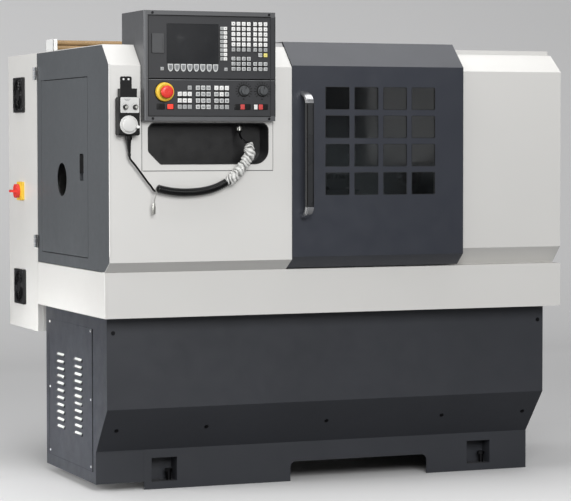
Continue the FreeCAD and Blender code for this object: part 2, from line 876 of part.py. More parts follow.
def electrical_cabinet():
    """Sheets welded to a box, open at its left end, with the hinge knuckles and pins."""
    x0 = left_end + cabinet_door_depth
    x1 = along(cabinet_length)
    y0, y1 = tray_back + sheet, cabinet_back - sheet
    floor, roof = cabinet_bottom + sheet, cover_top - sheet
    pieces = [block(x0, x1, tray_back, y0, cabinet_bottom, cover_top),
              block(x0, x1, y1, cabinet_back, cabinet_bottom, cover_top),
              block(x0, x1, y0, y1, cabinet_bottom, floor),
              block(x0, x1, y0, y1, roof, cover_top),
              block(x1 - sheet, x1, y0, y1, floor, roof)]
    for z in (hinge_low_z, hinge_high_z):
        third = hinge_length / 3
        low, high = z - hinge_length / 2, z + hinge_length / 2
        pin = flats("z", low, high, hinge_axis_x, hinge_axis_y, hinge_pin, 12)
        leaf_low = block(hinge_axis_x, left_end, hinge_axis_y - 3, hinge_axis_y + 0.6,
                         low, low + third)
        leaf_high = block(hinge_axis_x, left_end, hinge_axis_y - 3, hinge_axis_y + 0.6,
                          high - third, high)
        strap = block(left_end - 1.5, left_end, hinge_axis_y - 26, hinge_axis_y + 0.6, low, high)
        pieces.append(fuse([knuckle(low, low + third), knuckle(high - third, high), pin,
                            leaf_low, leaf_high, strap]))
    return group(pieces)


def cabinet_door():
    """Folded pan over the cabinet's open end; its fans and switch ride on it."""
    y0, y1 = tray_back + 2.0, cabinet_back
    z0, z1 = cabinet_bottom, cover_top
    pan = block(left_end, left_end + cabinet_door_depth, y0, y1, z0, z1)
    inside = block(left_end + sheet, left_end + cabinet_door_depth + 1, y0 + sheet,
                   y1 - sheet, z0 + sheet, z1 - sheet)
    holes = [rod("x", left_end - 1, left_end + sheet + 1, deep(fan_y), z, fan_hole)
             for z in (fan_low_z, fan_high_z)]
    holes.append(rod("x", left_end - 1, left_end + sheet + 1, deep(switch_y), switch_z, 8))
    door = cut(pan, [inside] + holes)
    knuckles = []
    for z in (hinge_low_z, hinge_high_z):
        low = z - hinge_length / 6 + 0.2
        high = z + hinge_length / 6 - 0.2
        leaf = block(hinge_axis_x, left_end + 1, hinge_axis_y + 1.5, hinge_axis_y + 4.5,
                     low, high)
        barrel = fuse([knuckle(low, high), leaf])
        knuckles.append(cut(barrel, [rod("z", low - 1, high + 1, hinge_axis_x,
                                         hinge_axis_y, hinge_pin + fit_gap)]))
    return fuse([door] + knuckles)


fan_shaft = 3.0
fan_hub = 21.0


def fan_guards():
    """Square filter guards, each with ribs that carry the fan's shaft."""
    guards = []
    for z in (fan_low_z, fan_high_z):
        y = deep(fan_y)
        half = fan_side / 2
        frame = prism("x", left_end - fan_thick, left_end,
                      mitred(y - half, y + half, z - half, z + half, fan_corner))
        frame = cut(frame, [flats("x", left_end - fan_thick - 1, left_end + 1, y, z,
                                  fan_hole, fan_sides)])
        face = left_end - fan_thick
        boss = flats("x", face, face + 2, y, z, fan_hub, 8)
        ribs = []
        for k in range(4):
            rib = block(face, face + 2, y - fan_hole - 3, y + fan_hole + 3, z - 1.5, z + 1.5)
            rib.rotate(V(face, y, z), V(1, 0, 0), 45 * k)
            ribs.append(rib)
        shaft = rod("x", face, left_end + 14, y, z, fan_shaft)
        guards.append(fuse([frame, boss] + ribs + [shaft]))
    return group(guards)


def fan_rotor(z):
    y = deep(fan_y)
    x0, x1 = left_end - fan_thick + 3.0, left_end + 12.0
    hub = flats("x", x0, x1, y, z, fan_hub - 1, 14)
    blades = []
    for k in range(7):
        blade = Part.makeBox(1.6, 25.0, fan_hole - fan_hub - 1.5,
                             V(-0.8, -12.5, fan_hub - 2))
        blade.rotate(V(0, 0, 0), V(0, 0, 1), 52)
        blade.rotate(V(0, 0, 0), V(1, 0, 0), 360 / 7 * k)
        blade.translate(V((x0 + x1) / 2, y, z))
        blades.append(blade)
    reach = block(x0, x1, y - 60, y + 60, z - 60, z + 60)
    rotor = fuse([hub] + blades).common(reach)
    return cut(rotor, [rod("x", x0 - 1, x1 + 1, y, z, fan_shaft + fit_gap)])


def switch_plate():
    y, half = deep(switch_y), switch_side / 2
    plate = prism("x", left_end - 10, left_end,
                  rounded(y - half, y + half, switch_z - half, switch_z + half, 5.0))
    collar = flats("x", left_end - 13, left_end - 10, y, switch_z, 27, dial_sides)
    hole = rod("x", left_end - 14, left_end + 1, y, switch_z, switch_shaft + fit_gap)
    return cut(fuse([plate, collar]), [hole])


def switch_handle():
    y = deep(switch_y)
    x0 = left_end - 13.5
    disc = flats("x", x0 - 13, x0, y, switch_z, 25, dial_sides)
    tip = x0 - switch_reach
    grip = prism("z", switch_z - switch_grip / 2, switch_z + switch_grip / 2,
                 [(x0 - 13, y - 23), (x0 - 13, y + 23), (tip, y + 16), (tip, y - 16)])
    shaft = flats("x", x0, left_end + 10, y, switch_z, switch_shaft, 12)
    return fuse([disc, grip, shaft])


def drive_units():
    """Back plate of the cabinet with its drives, contactors and transformer."""
    x0, x1 = left_end + 60, along(cabinet_length) - 40
    y1 = cabinet_back - sheet
    plate = block(x0, x1, y1 - 4, y1, cabinet_bottom + 40, cover_top - 40)
    rows = [(1230, [(80, 150, 200), (180, 90, 170), (290, 90, 170)]),
            (930, [(80, 200, 180), (300, 130, 120), (440, 60, 90)]),
            (640, [(80, 130, 120), (230, 60, 90), (300, 60, 90), (380, 150, 140)])]
    units = []
    for z, row in rows:
        for start, width, depth in row:
            units.append(block(x0 + start, x0 + start + width, y1 - 4 - depth, y1 - 4,
                               z, z + 170))
    return fuse([plate] + units)


def brake_resistor():
    """Two ceramic tubes between folded brackets, on the cabinet's roof."""
    x0, length, tube_r = along(resistor_start), resistor_length, resistor_radius
    ys = (deep(fan_y) - 72, deep(fan_y) - 28)
    z = cover_top + resistor_radius + 12
    brackets = []
    y0, y1, high = ys[0] - 24, ys[1] + 24, cover_top + bracket_height
    for wall, start in ((x0, x0), (x0 + length, x0 + length + 3 - bracket_depth)):
        brackets.append(block(wall, wall + 3, y0, y1, cover_top, high))
        for y in (y0, y1 - 3):
            brackets.append(block(start, start + bracket_depth, y, y + 3, cover_top, high))
        brackets.append(block(start, start + bracket_depth, y0, y1, cover_top,
                              cover_top + 3))
    tubes = []
    for y in ys:
        tube = rod("x", x0 + 3, x0 + length, y, z, tube_r)
        tubes.append(cut(tube, [rod("x", x0, x0 + length + 4, y, z, 9)]))
    return fuse(brackets + tubes)


# ---------------------------------------------------------------- control box
def control_box():
    x0, x1 = along(box_start), along(box_start + box_width)
    z0, z1 = box_bottom, box_bottom + box_height
    shell = prism("z", z0, z1, rounded(x0, x1, box_y, box_y + box_depth, 3.0))
    inside = block(x0 + box_wall, x1 - box_wall, box_y + 8, box_y + box_depth - box_wall,
                   z0 + box_wall, z1 - box_wall)
    face_hole = block(x0 + face_margin, x1 - face_margin, box_y - 1, box_y + 9,
                      z0 + face_margin, z1 - face_margin)
    return cut(shell, [inside, face_hole])


def face_rect(part):
    """The upper or the lower plate of the control face, as (x0, x1, z0, z1)."""
    x0, x1 = along(box_start) + face_margin, along(box_start + box_width) - face_margin
    z0, z1 = box_bottom + face_margin, box_bottom + box_height - face_margin
    split = box_bottom + face_split
    if part == "lower":
        return x0 + rest_gap, x1 - rest_gap, z0 + rest_gap, split - face_split_gap / 2
    return x0 + rest_gap, x1 - rest_gap, split + face_split_gap / 2, z1 - rest_gap


face_y = box_y + 3.0


def on_face(dx, dz):
    """A point of the face, from the box's lower left corner."""
    return along(box_start) + dx, box_bottom + dz


screen_size = (176.0, 128.0)
screen_corner = (78.0, 182.0)
port_size = (40.0, 62.0)
port_corner = (28.0, 216.0)
dial_centres = [(341.0, 98.0), (405.0, 98.0)]
estop_centre = (69.0, 92.0)


def control_faces():
    plates = []
    for part in ("lower", "upper"):
        x0, x1, z0, z1 = face_rect(part)
        plates.append(block(x0, x1, face_y, face_y + face_thick, z0, z1))
    sx, sz = on_face(*screen_corner)
    px, pz = on_face(*port_corner)
    tools = [block(sx - rest_gap, sx + screen_size[0] + rest_gap, face_y - 1,
                   face_y + face_thick + 1, sz - rest_gap, sz + screen_size[1] + rest_gap),
             block(px + 5, px + port_size[0] - 5, face_y - 1, face_y + face_thick + 1,
                   pz + 5, pz + port_size[1] - 5)]
    for centre in dial_centres + [estop_centre]:
        x, z = on_face(*centre)
        tools.append(rod("y", face_y - 1, face_y + face_thick + 1, x, z,
                         knob_shaft + fit_gap))
    # ledges of the box's front edge carry the plates from behind
    return group([cut(plate, tools) for plate in plates])


def screen():
    sx, sz = on_face(*screen_corner)
    lip = block(sx - 6, sx + screen_size[0] + 6, face_y + face_thick, face_y + 8,
                sz - 6, sz + screen_size[1] + 6)
    pane = block(sx, sx + screen_size[0], face_y + 1, face_y + 8, sz, sz + screen_size[1])
    return fuse([pane, lip])


key_columns = [305.0, 322.5, 340.5, 358.0, 380.0, 398.0, 416.0]
key_rows = [313.0, 296.5, 280.0, 263.5, 246.5, 230.0]
low_key_rows = [201.0, 184.5, 168.0]
pad_columns = [121.0, 138.0, 155.0, 183.0, 201.0, 219.0, 246.0, 264.0, 282.0]
pad_rows = [45.0, 65.0, 86.0, 106.0]


def keypad():
    """Short-travel keys of both plates, moulded as one mat per group."""
    keys = []

    def key(dx, dz, width, height):
        x, z = on_face(dx, dz)
        keys.append(block(x - width / 2, x + width / 2, face_y - key_rise, face_y,
                          z - height / 2, z + height / 2))

    for dz in key_rows:
        for dx in key_columns:
            key(dx, dz, 12.5, 12.5)
    for dz in low_key_rows:
        for dx in key_columns:
            if dz != low_key_rows[0] or dx < 370:
                key(dx, dz, 12.5, 11.5)
    for dx in key_columns[5:]:
        key(dx, 213.0, 12.5, 12.5)
    for k in range(8):
        key(90.0 + k * 21.9, 169.5, 18.0, 24.0)
        key(268.0, 297.0 - k * 13.9, 23.0, 11.0)
    for dx in (62.0, 279.0):
        key(dx, 166.0, 11.0, 11.0)
    for dz in pad_rows:
        for dx in pad_columns:
            if dz < 100 or dx > 150:
                key(dx, dz, 14.0, 14.0)
    for dx, width in ((57.0, 26.0), (89.0, 22.0), (333.0, 14.0), (380.0, 13.0), (397.0, 16.0)):
        key(dx, 45.5, width, 18.0)
    return group(keys)


def port_cover():
    """Flap over the memory-card slot, hinged on its left edge."""
    px, pz = on_face(*port_corner)
    flap = prism("y", face_y - 3.0, face_y,
                 rounded(px, px + port_size[0], pz, pz + port_size[1], 2.0))
    groove = block(px + port_size[0] - 7, px + port_size[0] - 3, face_y - 4, face_y - 1.8,
                   pz + 12, pz + port_size[1] - 12)
    return cut(flap, [groove])


def estop_collar():
    x, z = on_face(*estop_centre)
    ring = flats("y", face_y - 4, face_y, x, z, estop_ring_radius, 2 * dial_sides)
    neck = flats("y", face_y - 14, face_y - 4, x, z, 15, dial_sides)
    bore = rod("y", face_y - 20, face_y + 1, x, z, knob_shaft + fit_gap)
    return cut(fuse([ring, neck]), [bore])


def estop_button():
    x, z = on_face(*estop_centre)
    face = face_y - estop_reach
    head = flats("y", face, face + 16, x, z, estop_radius, 2 * dial_sides)
    edges = [e for e in head.Edges if abs(e.BoundBox.YMax - face) < 1e-6]
    head = head.makeChamfer(estop_bevel, edges)
    stem = flats("y", face_y - estop_reach + 10, face_y + 12, x, z, knob_shaft, 12)
    return fuse([head, stem])


def override_dial(centre):
    x, z = on_face(*centre)
    skirt = flats("y", face_y - 4, face_y - 0.5, x, z, dial_radius, dial_sides)
    knob = flats("y", face_y - dial_depth, face_y - 4, x, z, dial_radius - 3, dial_sides)
    bar = block(x - 3, x + 3, face_y - dial_depth - 3, face_y - dial_depth + 2, z - 11, z + 11)
    shaft = flats("y", face_y - 1, face_y + face_thick + 8, x, z, knob_shaft, 12)
    return fuse([skirt, knob, bar, shaft])


# ---------------------------------------------------------------- pendant
pendant_x0 = along(pendant_start)
pendant_x1 = pendant_x0 + pendant_width
pendant_top = pendant_low + pendant_height
pendant_y1 = cover_y - holder_thick
pendant_y0 = pendant_y1 - pendant_depth
pendant_mid = (pendant_x0 + pendant_x1) / 2
gland_y = (pendant_y0 + pendant_y1) / 2


def pendant_holder():
    """Bent plate on the cover; the pendant's back slides down over its tongue."""
    x0 = along(holder_start)
    plate = prism("y", cover_y - holder_thick, cover_y,
                  [(x0, pendant_low + 30), (x0 + holder_width, pendant_low + 30),
                   (x0 + holder_width, pendant_top + holder_height, 6.0),
                   (x0, pendant_top + holder_height, 6.0)])
    return plate


def pendant_body():
    """Moulded case with a stepped collar on top."""
    case = prism("y", pendant_y0, pendant_y1,
                 rounded(pendant_x0, pendant_x1, pendant_low, pendant_top, 7.0))
    edges = [e for e in case.Edges
             if abs(e.BoundBox.YMin - pendant_y0) < 1e-6 and e.BoundBox.YLength < 1e-6]
    case = case.makeChamfer(3.0, edges)
    x0 = pendant_mid - collar_width / 2
    collar = block(x0, x0 + collar_width, pendant_y0 + 6, pendant_y1, pendant_top - 1,
                   pendant_top + collar_height)
    plate = prism("y", pendant_y0 - 1.0, pendant_y0 + 1.0,
                  rounded(pendant_x0 + 7, pendant_x1 - 5, pendant_top - 48, pendant_top - 3, 0.0))
    holes = [rod("y", pendant_y0 - 2, pendant_y1 - 6, x, z, selector_shaft + fit_gap)
             for x, z in pendant_knobs]
    return cut(fuse([case, collar, plate]), holes)


pendant_knobs = [(along(41.0), selector_z), (along(74.0), selector_z),
                 (along(53.0), pendant_dial_z)]


def selector(x, z):
    face = pendant_y0 - 1.0
    skirt = flats("y", face - 4, face - 0.3, x, z, selector_radius, 16)
    grip = block(x - 2.5, x + 2.5, face - 13, face - 4, z - selector_radius,
                 z + selector_radius)
    shaft = flats("y", face - 1, pendant_y1 - 8, x, z, selector_shaft, 12)
    return fuse([skirt, grip, shaft])


def pendant_dial():
    """Pulse wheel with its crank knob."""
    x, z = pendant_knobs[2]
    wheel = flats("y", pendant_y0 - 14, pendant_y0 - 0.5, x, z, pendant_dial_radius, 50)
    hub = flats("y", pendant_y0 - 17, pendant_y0 - 14, x, z, pendant_dial_radius - 9, 25)
    angle = math.radians(-17)
    kx, kz = x + 21 * math.cos(angle), z + 21 * math.sin(angle)
    crank = flats("y", pendant_y0 - 29, pendant_y0 - 13, kx, kz, 5.5, 12)
    shaft = flats("y", pendant_y0 - 1, pendant_y1 - 8, x, z, selector_shaft, 12)
    return fuse([wheel, hub, crank, shaft])


# ---------------------------------------------------------------- pendant's cord
cord_y = cover_y - 18.0


def cord_point(distance, z, lead=0.0):
    """A point of the cord's route, at a distance along the machine."""
    return V(along(distance), cord_y - lead, z)


gland_start = V(pendant_mid + 2, gland_y, pendant_low)
gland_end = V(pendant_mid + 6, cord_y, pendant_low - gland_length)
gland_axis = (gland_end - gland_start).normalize()

cable_route = [gland_end, gland_end + gland_axis * 16.0, cord_point(72.0, 1083.0),
               cord_point(86.0, 1066.0), cord_point(99.0, 1047.0), cord_point(111.0, 1028.0),
               cord_point(122.0, 1017.4), cord_point(136.0, 1011.0)]
coil_route = [cord_point(136.0, 1011.0), cord_point(160.0, 1000.0), cord_point(196.0, 991.5),
              cord_point(236.0, 988.0), cord_point(278.0, 989.0), cord_point(318.0, 994.0),
              cord_point(356.0, 1005.0, 2.0), cord_point(388.0, 1023.0, 4.0)]
film_route = [cord_point(388.0, 1023.0, 4.0), cord_point(410.0, 1035.375, 5.375),
              cord_point(432.0, 1056.0, 5.0), cord_point(448.0, 1082.0, 4.5),
              cord_point(455.0, 1108.0, 4.0), cord_point(455.0, 1131.0),
              cord_point(447.0, 1150.0, -10.0)]
plug_x = along(449.0)
plug_y = cover_y + 26.0
plug_top = tub_low + tub_height - 0.3 - tub_wall
plug_length = 30.0
tail_route = [film_route[-1], cord_point(441.7, 1162.7, -16.7),
              cord_point(441.0, 1171.0, -28.0), cord_point(444.5, 1176.5, -37.5),
              V(plug_x, plug_y, plug_top - plug_length)]


def cord_wire(route, name):
    """Straight runs joined by tangent arcs, each as large as its runs allow."""
    edges = []
    here = route[0]
    radii = []
    for i in range(1, len(route) - 1):
        back = route[i - 1] - route[i]
        ahead = route[i + 1] - route[i]
        shorter = min(back.Length, ahead.Length)
        back.normalize()
        ahead.normalize()
        turn = math.pi - back.getAngle(ahead)
        radius = 0.45 * shorter / math.tan(turn / 2)
        radii.append(radius)
        reach = 0.45 * shorter
        start = route[i] + back * reach
        end = route[i] + ahead * reach
        bisector = (back + ahead).normalize()
        middle = route[i] + bisector * (radius / math.cos(turn / 2) - radius)
        edges.append(Part.LineSegment(here, start).toShape())
        edges.append(Part.Arc(start, middle, end).toShape())
        here = end
    edges.append(Part.LineSegment(here, route[-1]).toShape())
    wire = Part.Wire(edges)
    print("%s: length %.1f mm, bend radii %s" %
          (name, wire.Length, ", ".join("%.0f" % r for r in radii)))
    return wire


def cord_ring(centre, tangent, radius, sides):
    """The many-sided section of a cord, square to its run."""
    aside = tangent.cross(V(0, 1, 0)).normalize()
    above = tangent.cross(aside).normalize()
    turn = 2 * math.pi / sides
    corners = [centre + aside * (radius * math.cos(turn * k))
               + above * (radius * math.sin(turn * k)) for k in range(sides)]
    return Part.makePolygon(corners + corners[:1])


def cord_tube(route, diameter, sides, name):
    """A cord as a prism with many sides, swept along its route."""
    wire = cord_wire(route, name)
    ring = cord_ring(route[0], (route[1] - route[0]).normalize(), diameter / 2, sides)
    tube = wire.makePipeShell([ring], True, False)
    expected = Part.Face(ring).Area * wire.Length
    print("%s: volume %.0f mm3, section times length %.0f mm3" %
          (name, tube.Volume, expected))
    return tube


def cable_gland():
    """Tapered strain relief between the pendant and its cable."""
    hidden = 4.0
    length = (gland_end - gland_start).Length - hidden
    nut = hexagon(gland_start, V(0, 0, -1), 12.0, 14.0)
    wide = cord_ring(gland_start + gland_axis * hidden, gland_axis, 8.0, 16)
    narrow = cord_ring(gland_start + gland_axis * (hidden + length), gland_axis, 4.5, 16)
    return fuse([nut, Part.makeLoft([wide, narrow], True, True)])


def cable_plug():
    """Round plug under the tub's roof, moulded on the cord's thin end."""
    body = flats("z", plug_top - plug_length, plug_top, plug_x, plug_y, 9.0, 16)
    ring = flats("z", plug_top - 14, plug_top - 6, plug_x, plug_y, 11.0, 16)
    return fuse([body, ring, cord_tube(tail_route, cable_diameter, thin_sides, "cable tail")])


lead_route = [cord_point(142.0, 1008.0, 13.8), cord_point(144.0, 995.0, 14.5),
              cord_point(140.0, 981.0, 13.0), cord_point(136.0, 966.0, 8.0),
              cord_point(135.0, 952.0, 6.0)]


def earth_lead():
    """Thin earth wire with its crimped ferrule, hanging at the coil's start."""
    wire = cord_tube(lead_route, lead_diameter, thin_sides, "earth lead")
    end = lead_route[-1]
    ferrule = hexagon(V(end.x, end.y, end.z + 1.0), V(0, 0, -1), 5.0, 30.0)
    return fuse([wire, ferrule])


# ---------------------------------------------------------------- bed and headstock
bed_x0, bed_x1 = along(bed_start), right_end - bed_end_gap
screw_y = spindle_y - bed_half_width - screw_offset
screw_z = bed_top - screw_drop
screw_x0 = along(headstock_start + headstock_length + screw_lead)
screw_x1 = bed_x1 - screw_end_gap
screw_block = 44.0


def way_section(grow):
    """Both guideways in (y, z): a flat rear way and a prismatic front way."""
    y0, y1 = spindle_y - bed_half_width, spindle_y + bed_half_width
    return [[(y0 + 22 - grow, bed_top - 0.01), (y0 + 40, bed_top + way_height + grow),
             (y0 + 58 + grow, bed_top - 0.01)],
            [(y1 - 62 - grow, bed_top - 0.01), (y1 - 22 + grow, bed_top - 0.01),
             (y1 - 22 + grow, bed_top + way_height + grow),
             (y1 - 62 - grow, bed_top + way_height + grow)]]


def bed():
    """Cast bed with ribbed chip windows between its two shears."""
    y0, y1 = spindle_y - bed_half_width, spindle_y + bed_half_width
    section = [(y0, bed_top), (y0, bed_top - 55), (y0 + 16, bed_top - 70),
               (y0 + 16, bed_body_low + 24), (y0, bed_body_low), (y1, bed_body_low),
               (y1 - 16, bed_body_low + 24), (y1 - 16, bed_top - 70), (y1, bed_top - 55),
               (y1, bed_top)]
    body = prism("x", bed_x0, bed_x1, section[::-1])
    ways = [prism("x", along(headstock_start + headstock_length), bed_x1, s)
            for s in way_section(0.0)]
    feet = [block(x, x + 150, y0 + 10, y1 - 10, tray_bottom + tray_floor, bed_body_low + 1)
            for x in (bed_x0 + 60, bed_x1 - 230)]
    blocks = [block(x, x + screw_block, screw_y - 26, y0 + 1, screw_z - 26, screw_z + 26)
              for x in (screw_x0, screw_x1 - screw_block)]
    casting = fuse([body] + ways + feet + blocks)
    windows = []
    rib, cell = 30.0, 200.0
    x = along(headstock_start + headstock_length) + 30
    while x + cell < bed_x1 - 40:
        windows.append(prism("z", bed_body_low - 1, bed_top + way_height + 1,
                             rounded(x, x + cell, y0 + 66, y1 - 70, 22.0)))
        x += cell + rib
    bores = [rod("x", screw_x0 - 1, screw_x1 + 1, screw_y, screw_z, screw_radius - 4 + fit_gap)]
    return cut(casting, windows + bores)


def headstock():
    """Cast headstock with bearing bosses, bored for the spindle."""
    x0, x1 = along(headstock_start), along(headstock_start + headstock_length)
    y0, y1 = spindle_y - headstock_half_width, spindle_y + headstock_half_width
    foot = 30.0
    section = [(spindle_y - bed_half_width, bed_top),
               (spindle_y + bed_half_width, bed_top),
               (spindle_y + bed_half_width, bed_top + foot), (y1 - 20, bed_top + foot),
               (y1 - 20, spindle_z + 60, 30.0), (spindle_y + 90, spindle_z + headstock_crown, 40.0),
               (spindle_y - 90, spindle_z + headstock_crown, 40.0), (y0 + 20, spindle_z + 60, 30.0),
               (y0 + 20, bed_top + foot), (spindle_y - bed_half_width, bed_top + foot)]
    body = prism("x", x0, x1, section)
    bosses = [rod("x", x1, x1 + 12, spindle_y, spindle_z, 78),
              rod("x", x0 - 12, x0, spindle_y, spindle_z, 70)]
    bore = rod("x", x0 - 20, x1 + 20, spindle_y, spindle_z, journal_radius + fit_gap)
    return cut(fuse([body] + bosses), [bore])


nose = headstock_start + headstock_length + 12.5


def spindle():
    """Hollow spindle with its nose flange and flat-belt pulley."""
    x_tail = along(44.0)
    p0, p1 = along(pulley_start) - 3, along(pulley_start + belt_width) + 3
    x_nose = along(nose)
    profile = [(x_tail, spindle_bore), (x_tail, journal_radius), (p0, journal_radius),
               (p0, spindle_pulley_radius), (p1, spindle_pulley_radius),
               (p1, journal_radius), (x_nose, journal_radius), (x_nose, flange_radius),
               (x_nose + flange_length, flange_radius), (x_nose + flange_length, spindle_bore)]
    return turned(profile, spindle_y, spindle_z)


def chuck():
    """Three-jaw chuck; its stepped jaws are seated in their slots."""
    x0 = along(nose + flange_length)
    x1 = x0 + chuck_length
    body = turned([(x0, 30.0), (x0, chuck_radius), (x1 - 6, chuck_radius),
                   (x1, chuck_radius - 6), (x1, 30.0)], spindle_y, spindle_z)
    jaws = []
    slots = []
    for k in range(3):
        steps = [(x1 - 14, 34.0), (x1 + jaw_length, 34.0), (x1 + jaw_length, 52.0),
                 (x1 + jaw_length * 0.62, 52.0), (x1 + jaw_length * 0.62, 72.0),
                 (x1 + jaw_length * 0.3, 72.0), (x1 + jaw_length * 0.3, 92.0),
                 (x1 - 14, 92.0)]
        wire = Part.makePolygon([V(x, spindle_y - 15, spindle_z + r) for x, r in steps]
                                + [V(steps[0][0], spindle_y - 15, spindle_z + steps[0][1])])
        jaw = Part.Face(wire).extrude(V(0, 30, 0))
        slot = block(x1 - 8, x1 + 1, spindle_y - 3, spindle_y + 3,
                     spindle_z + 90, spindle_z + chuck_radius + 1)
        centre = V(0, spindle_y, spindle_z)
        jaw.rotate(centre, V(1, 0, 0), 120 * k)
        slot.rotate(centre, V(1, 0, 0), 120 * k)
        jaws.append(jaw)
        slots.append(slot)
    return cut(fuse([body] + jaws), slots)


def drive_motors():
    """Spindle motor hung under the base's top plate, and the bed's servo motor."""
    x0 = along(pulley_start + belt_width + motor_gap)
    x1 = x0 + motor_length
    body = flats("x", x0, x1, spindle_y, motor_z, motor_radius, 8)
    fins = [flats("x", x0 + 40 + k * 36, x0 + 52 + k * 36, spindle_y, motor_z,
                  motor_radius + 7, 8) for k in range(7)]
    top = tray_bottom - base_wall
    hanger = block(x0 + 50, x1 - 50, spindle_y - 80, spindle_y + 80, motor_z + 60, top)
    shaft_hole = rod("x", x0 - 1, x0 + 90, spindle_y, motor_z,
                     motor_shaft_radius + fit_gap)
    main = cut(fuse([body] + fins + [hanger]), [shaft_hole])
    sx = screw_x1
    servo = [block(sx, sx + 60, screw_y - 36, screw_y + 36, screw_z - 36, screw_z + 36),
             block(sx + 60, sx + 105, screw_y - 30, screw_y + 30, screw_z - 30, screw_z + 30)]
    servo = cut(fuse(servo), [rod("x", sx - 1, sx + 30, screw_y, screw_z,
                                  screw_radius - 4 + fit_gap)])
    return group([main, servo])


def motor_pulley():
    """Plain pulley and rotor shaft of the spindle motor."""
    p0, p1 = along(pulley_start), along(pulley_start + belt_width)
    rim = motor_pulley_radius
    profile = [(p0 - 1, 0.0), (p0 - 1, rim), (p1 + 1, rim), (p1 + 1, motor_shaft_radius),
               (p1 + motor_gap + 80, motor_shaft_radius), (p1 + motor_gap + 80, 0.0)]
    return turned(profile, spindle_y, motor_z)


def belt_outline(grow):
    """Outline of a belt about both pulleys, as (big radius, small radius, tangency)."""
    big = spindle_pulley_radius + rest_gap + grow
    small = motor_pulley_radius + rest_gap + grow
    lean = math.asin((big - small) / (spindle_z - motor_z))
    return big, small, lean


def belt_loop(x, grow):
    big, small, lean = belt_outline(grow)

    def at(z, radius, angle):
        return V(x, spindle_y + radius * math.cos(angle), z + radius * math.sin(angle))

    upper_right, upper_left = at(spindle_z, big, -lean), at(spindle_z, big, math.pi + lean)
    lower_right, lower_left = at(motor_z, small, -lean), at(motor_z, small, math.pi + lean)
    edges = [Part.Arc(upper_right, at(spindle_z, big, math.pi / 2), upper_left).toShape(),
             Part.LineSegment(upper_left, lower_left).toShape(),
             Part.Arc(lower_left, at(motor_z, small, -math.pi / 2), lower_right).toShape(),
             Part.LineSegment(lower_right, upper_right).toShape()]
    return Part.Face(Part.Wire(edges))


def drive_belt():
    x = along(pulley_start) + rest_gap
    width = belt_width - 2 * rest_gap
    outer = belt_loop(x, belt_thickness).extrude(V(width, 0, 0))
    inner = belt_loop(x - 1, 0.0).extrude(V(width + 2, 0, 0))
    return cut(outer, [inner])


# ---------------------------------------------------------------- carriage and slides
carriage_x0 = along(carriage_start)
carriage_x1 = carriage_x0 + carriage_length
saddle_low = bed_top + rest_gap
saddle_top = bed_top + carriage_thick


def carriage():
    """Saddle on both guideways, with the ball nut's housing and the cross motor."""
    y0, y1 = spindle_y - bed_half_width - 8, spindle_y + bed_half_width + 8
    saddle = block(carriage_x0, carriage_x1, y0, y1, saddle_low, saddle_top)
    waist = [block(carriage_x0 - 1, carriage_x0 + 45, y0 + 90, y1 - 90, saddle_low - 1,
                   saddle_top + 1),
             block(carriage_x1 - 45, carriage_x1 + 1, y0 + 90, y1 - 90, saddle_low - 1,
                   saddle_top + 1)]
    apron = block(carriage_x0 + 40, carriage_x1 - 40, screw_y - 30,
                  spindle_y - bed_half_width - 3, screw_z - 30, saddle_top)
    ways = [prism("x", carriage_x0 - 1, carriage_x1 + 1, s) for s in way_section(rest_gap)]
    nut = rod("x", carriage_x0, carriage_x1, screw_y, screw_z, screw_radius + fit_gap)
    dovetail = dovetail_prism(0.0, y0 + 20, y1 + 34)
    motor = block(carriage_x0 + 60, carriage_x1 - 60, y1, y1 + 90, saddle_low + 4,
                  saddle_top + 24)
    return cut(fuse([cut(saddle, waist), apron, dovetail, motor]), ways + [nut])


def dovetail_prism(grow, y0, y1):
    """The dovetail of the cross slide, wider at its top."""
    cx = (carriage_x0 + carriage_x1) / 2
    low, high = saddle_top - 0.01, saddle_top + 14
    return prism("y", y0, y1, [(cx - 38 - grow, low), (cx + 38 + grow, low),
                               (cx + 46 + grow, high + grow), (cx - 46 - grow, high + grow)])


def cross_slide():
    """Table on the dovetail, with the round seat of the tool post."""
    cx = (carriage_x0 + carriage_x1) / 2
    y0, y1 = post_y - 70, spindle_y + 76
    table = prism("z", saddle_top + rest_gap, saddle_top + slide_height,
                  rounded(cx - 75, cx + 75, y0, y1, 8.0))
    groove = dovetail_prism(rest_gap, y0 - 1, y1 + 1)
    seat = rod("z", saddle_top + slide_height, saddle_top + slide_height + 8, cx,
               post_y, 52)
    stud = rod("z", saddle_top + slide_height, post_low + post_height + 14, cx, post_y, 14)
    return fuse([cut(table, [groove]), seat, stud])


post_y = spindle_y - 129.0
post_low = saddle_top + slide_height + 8.0


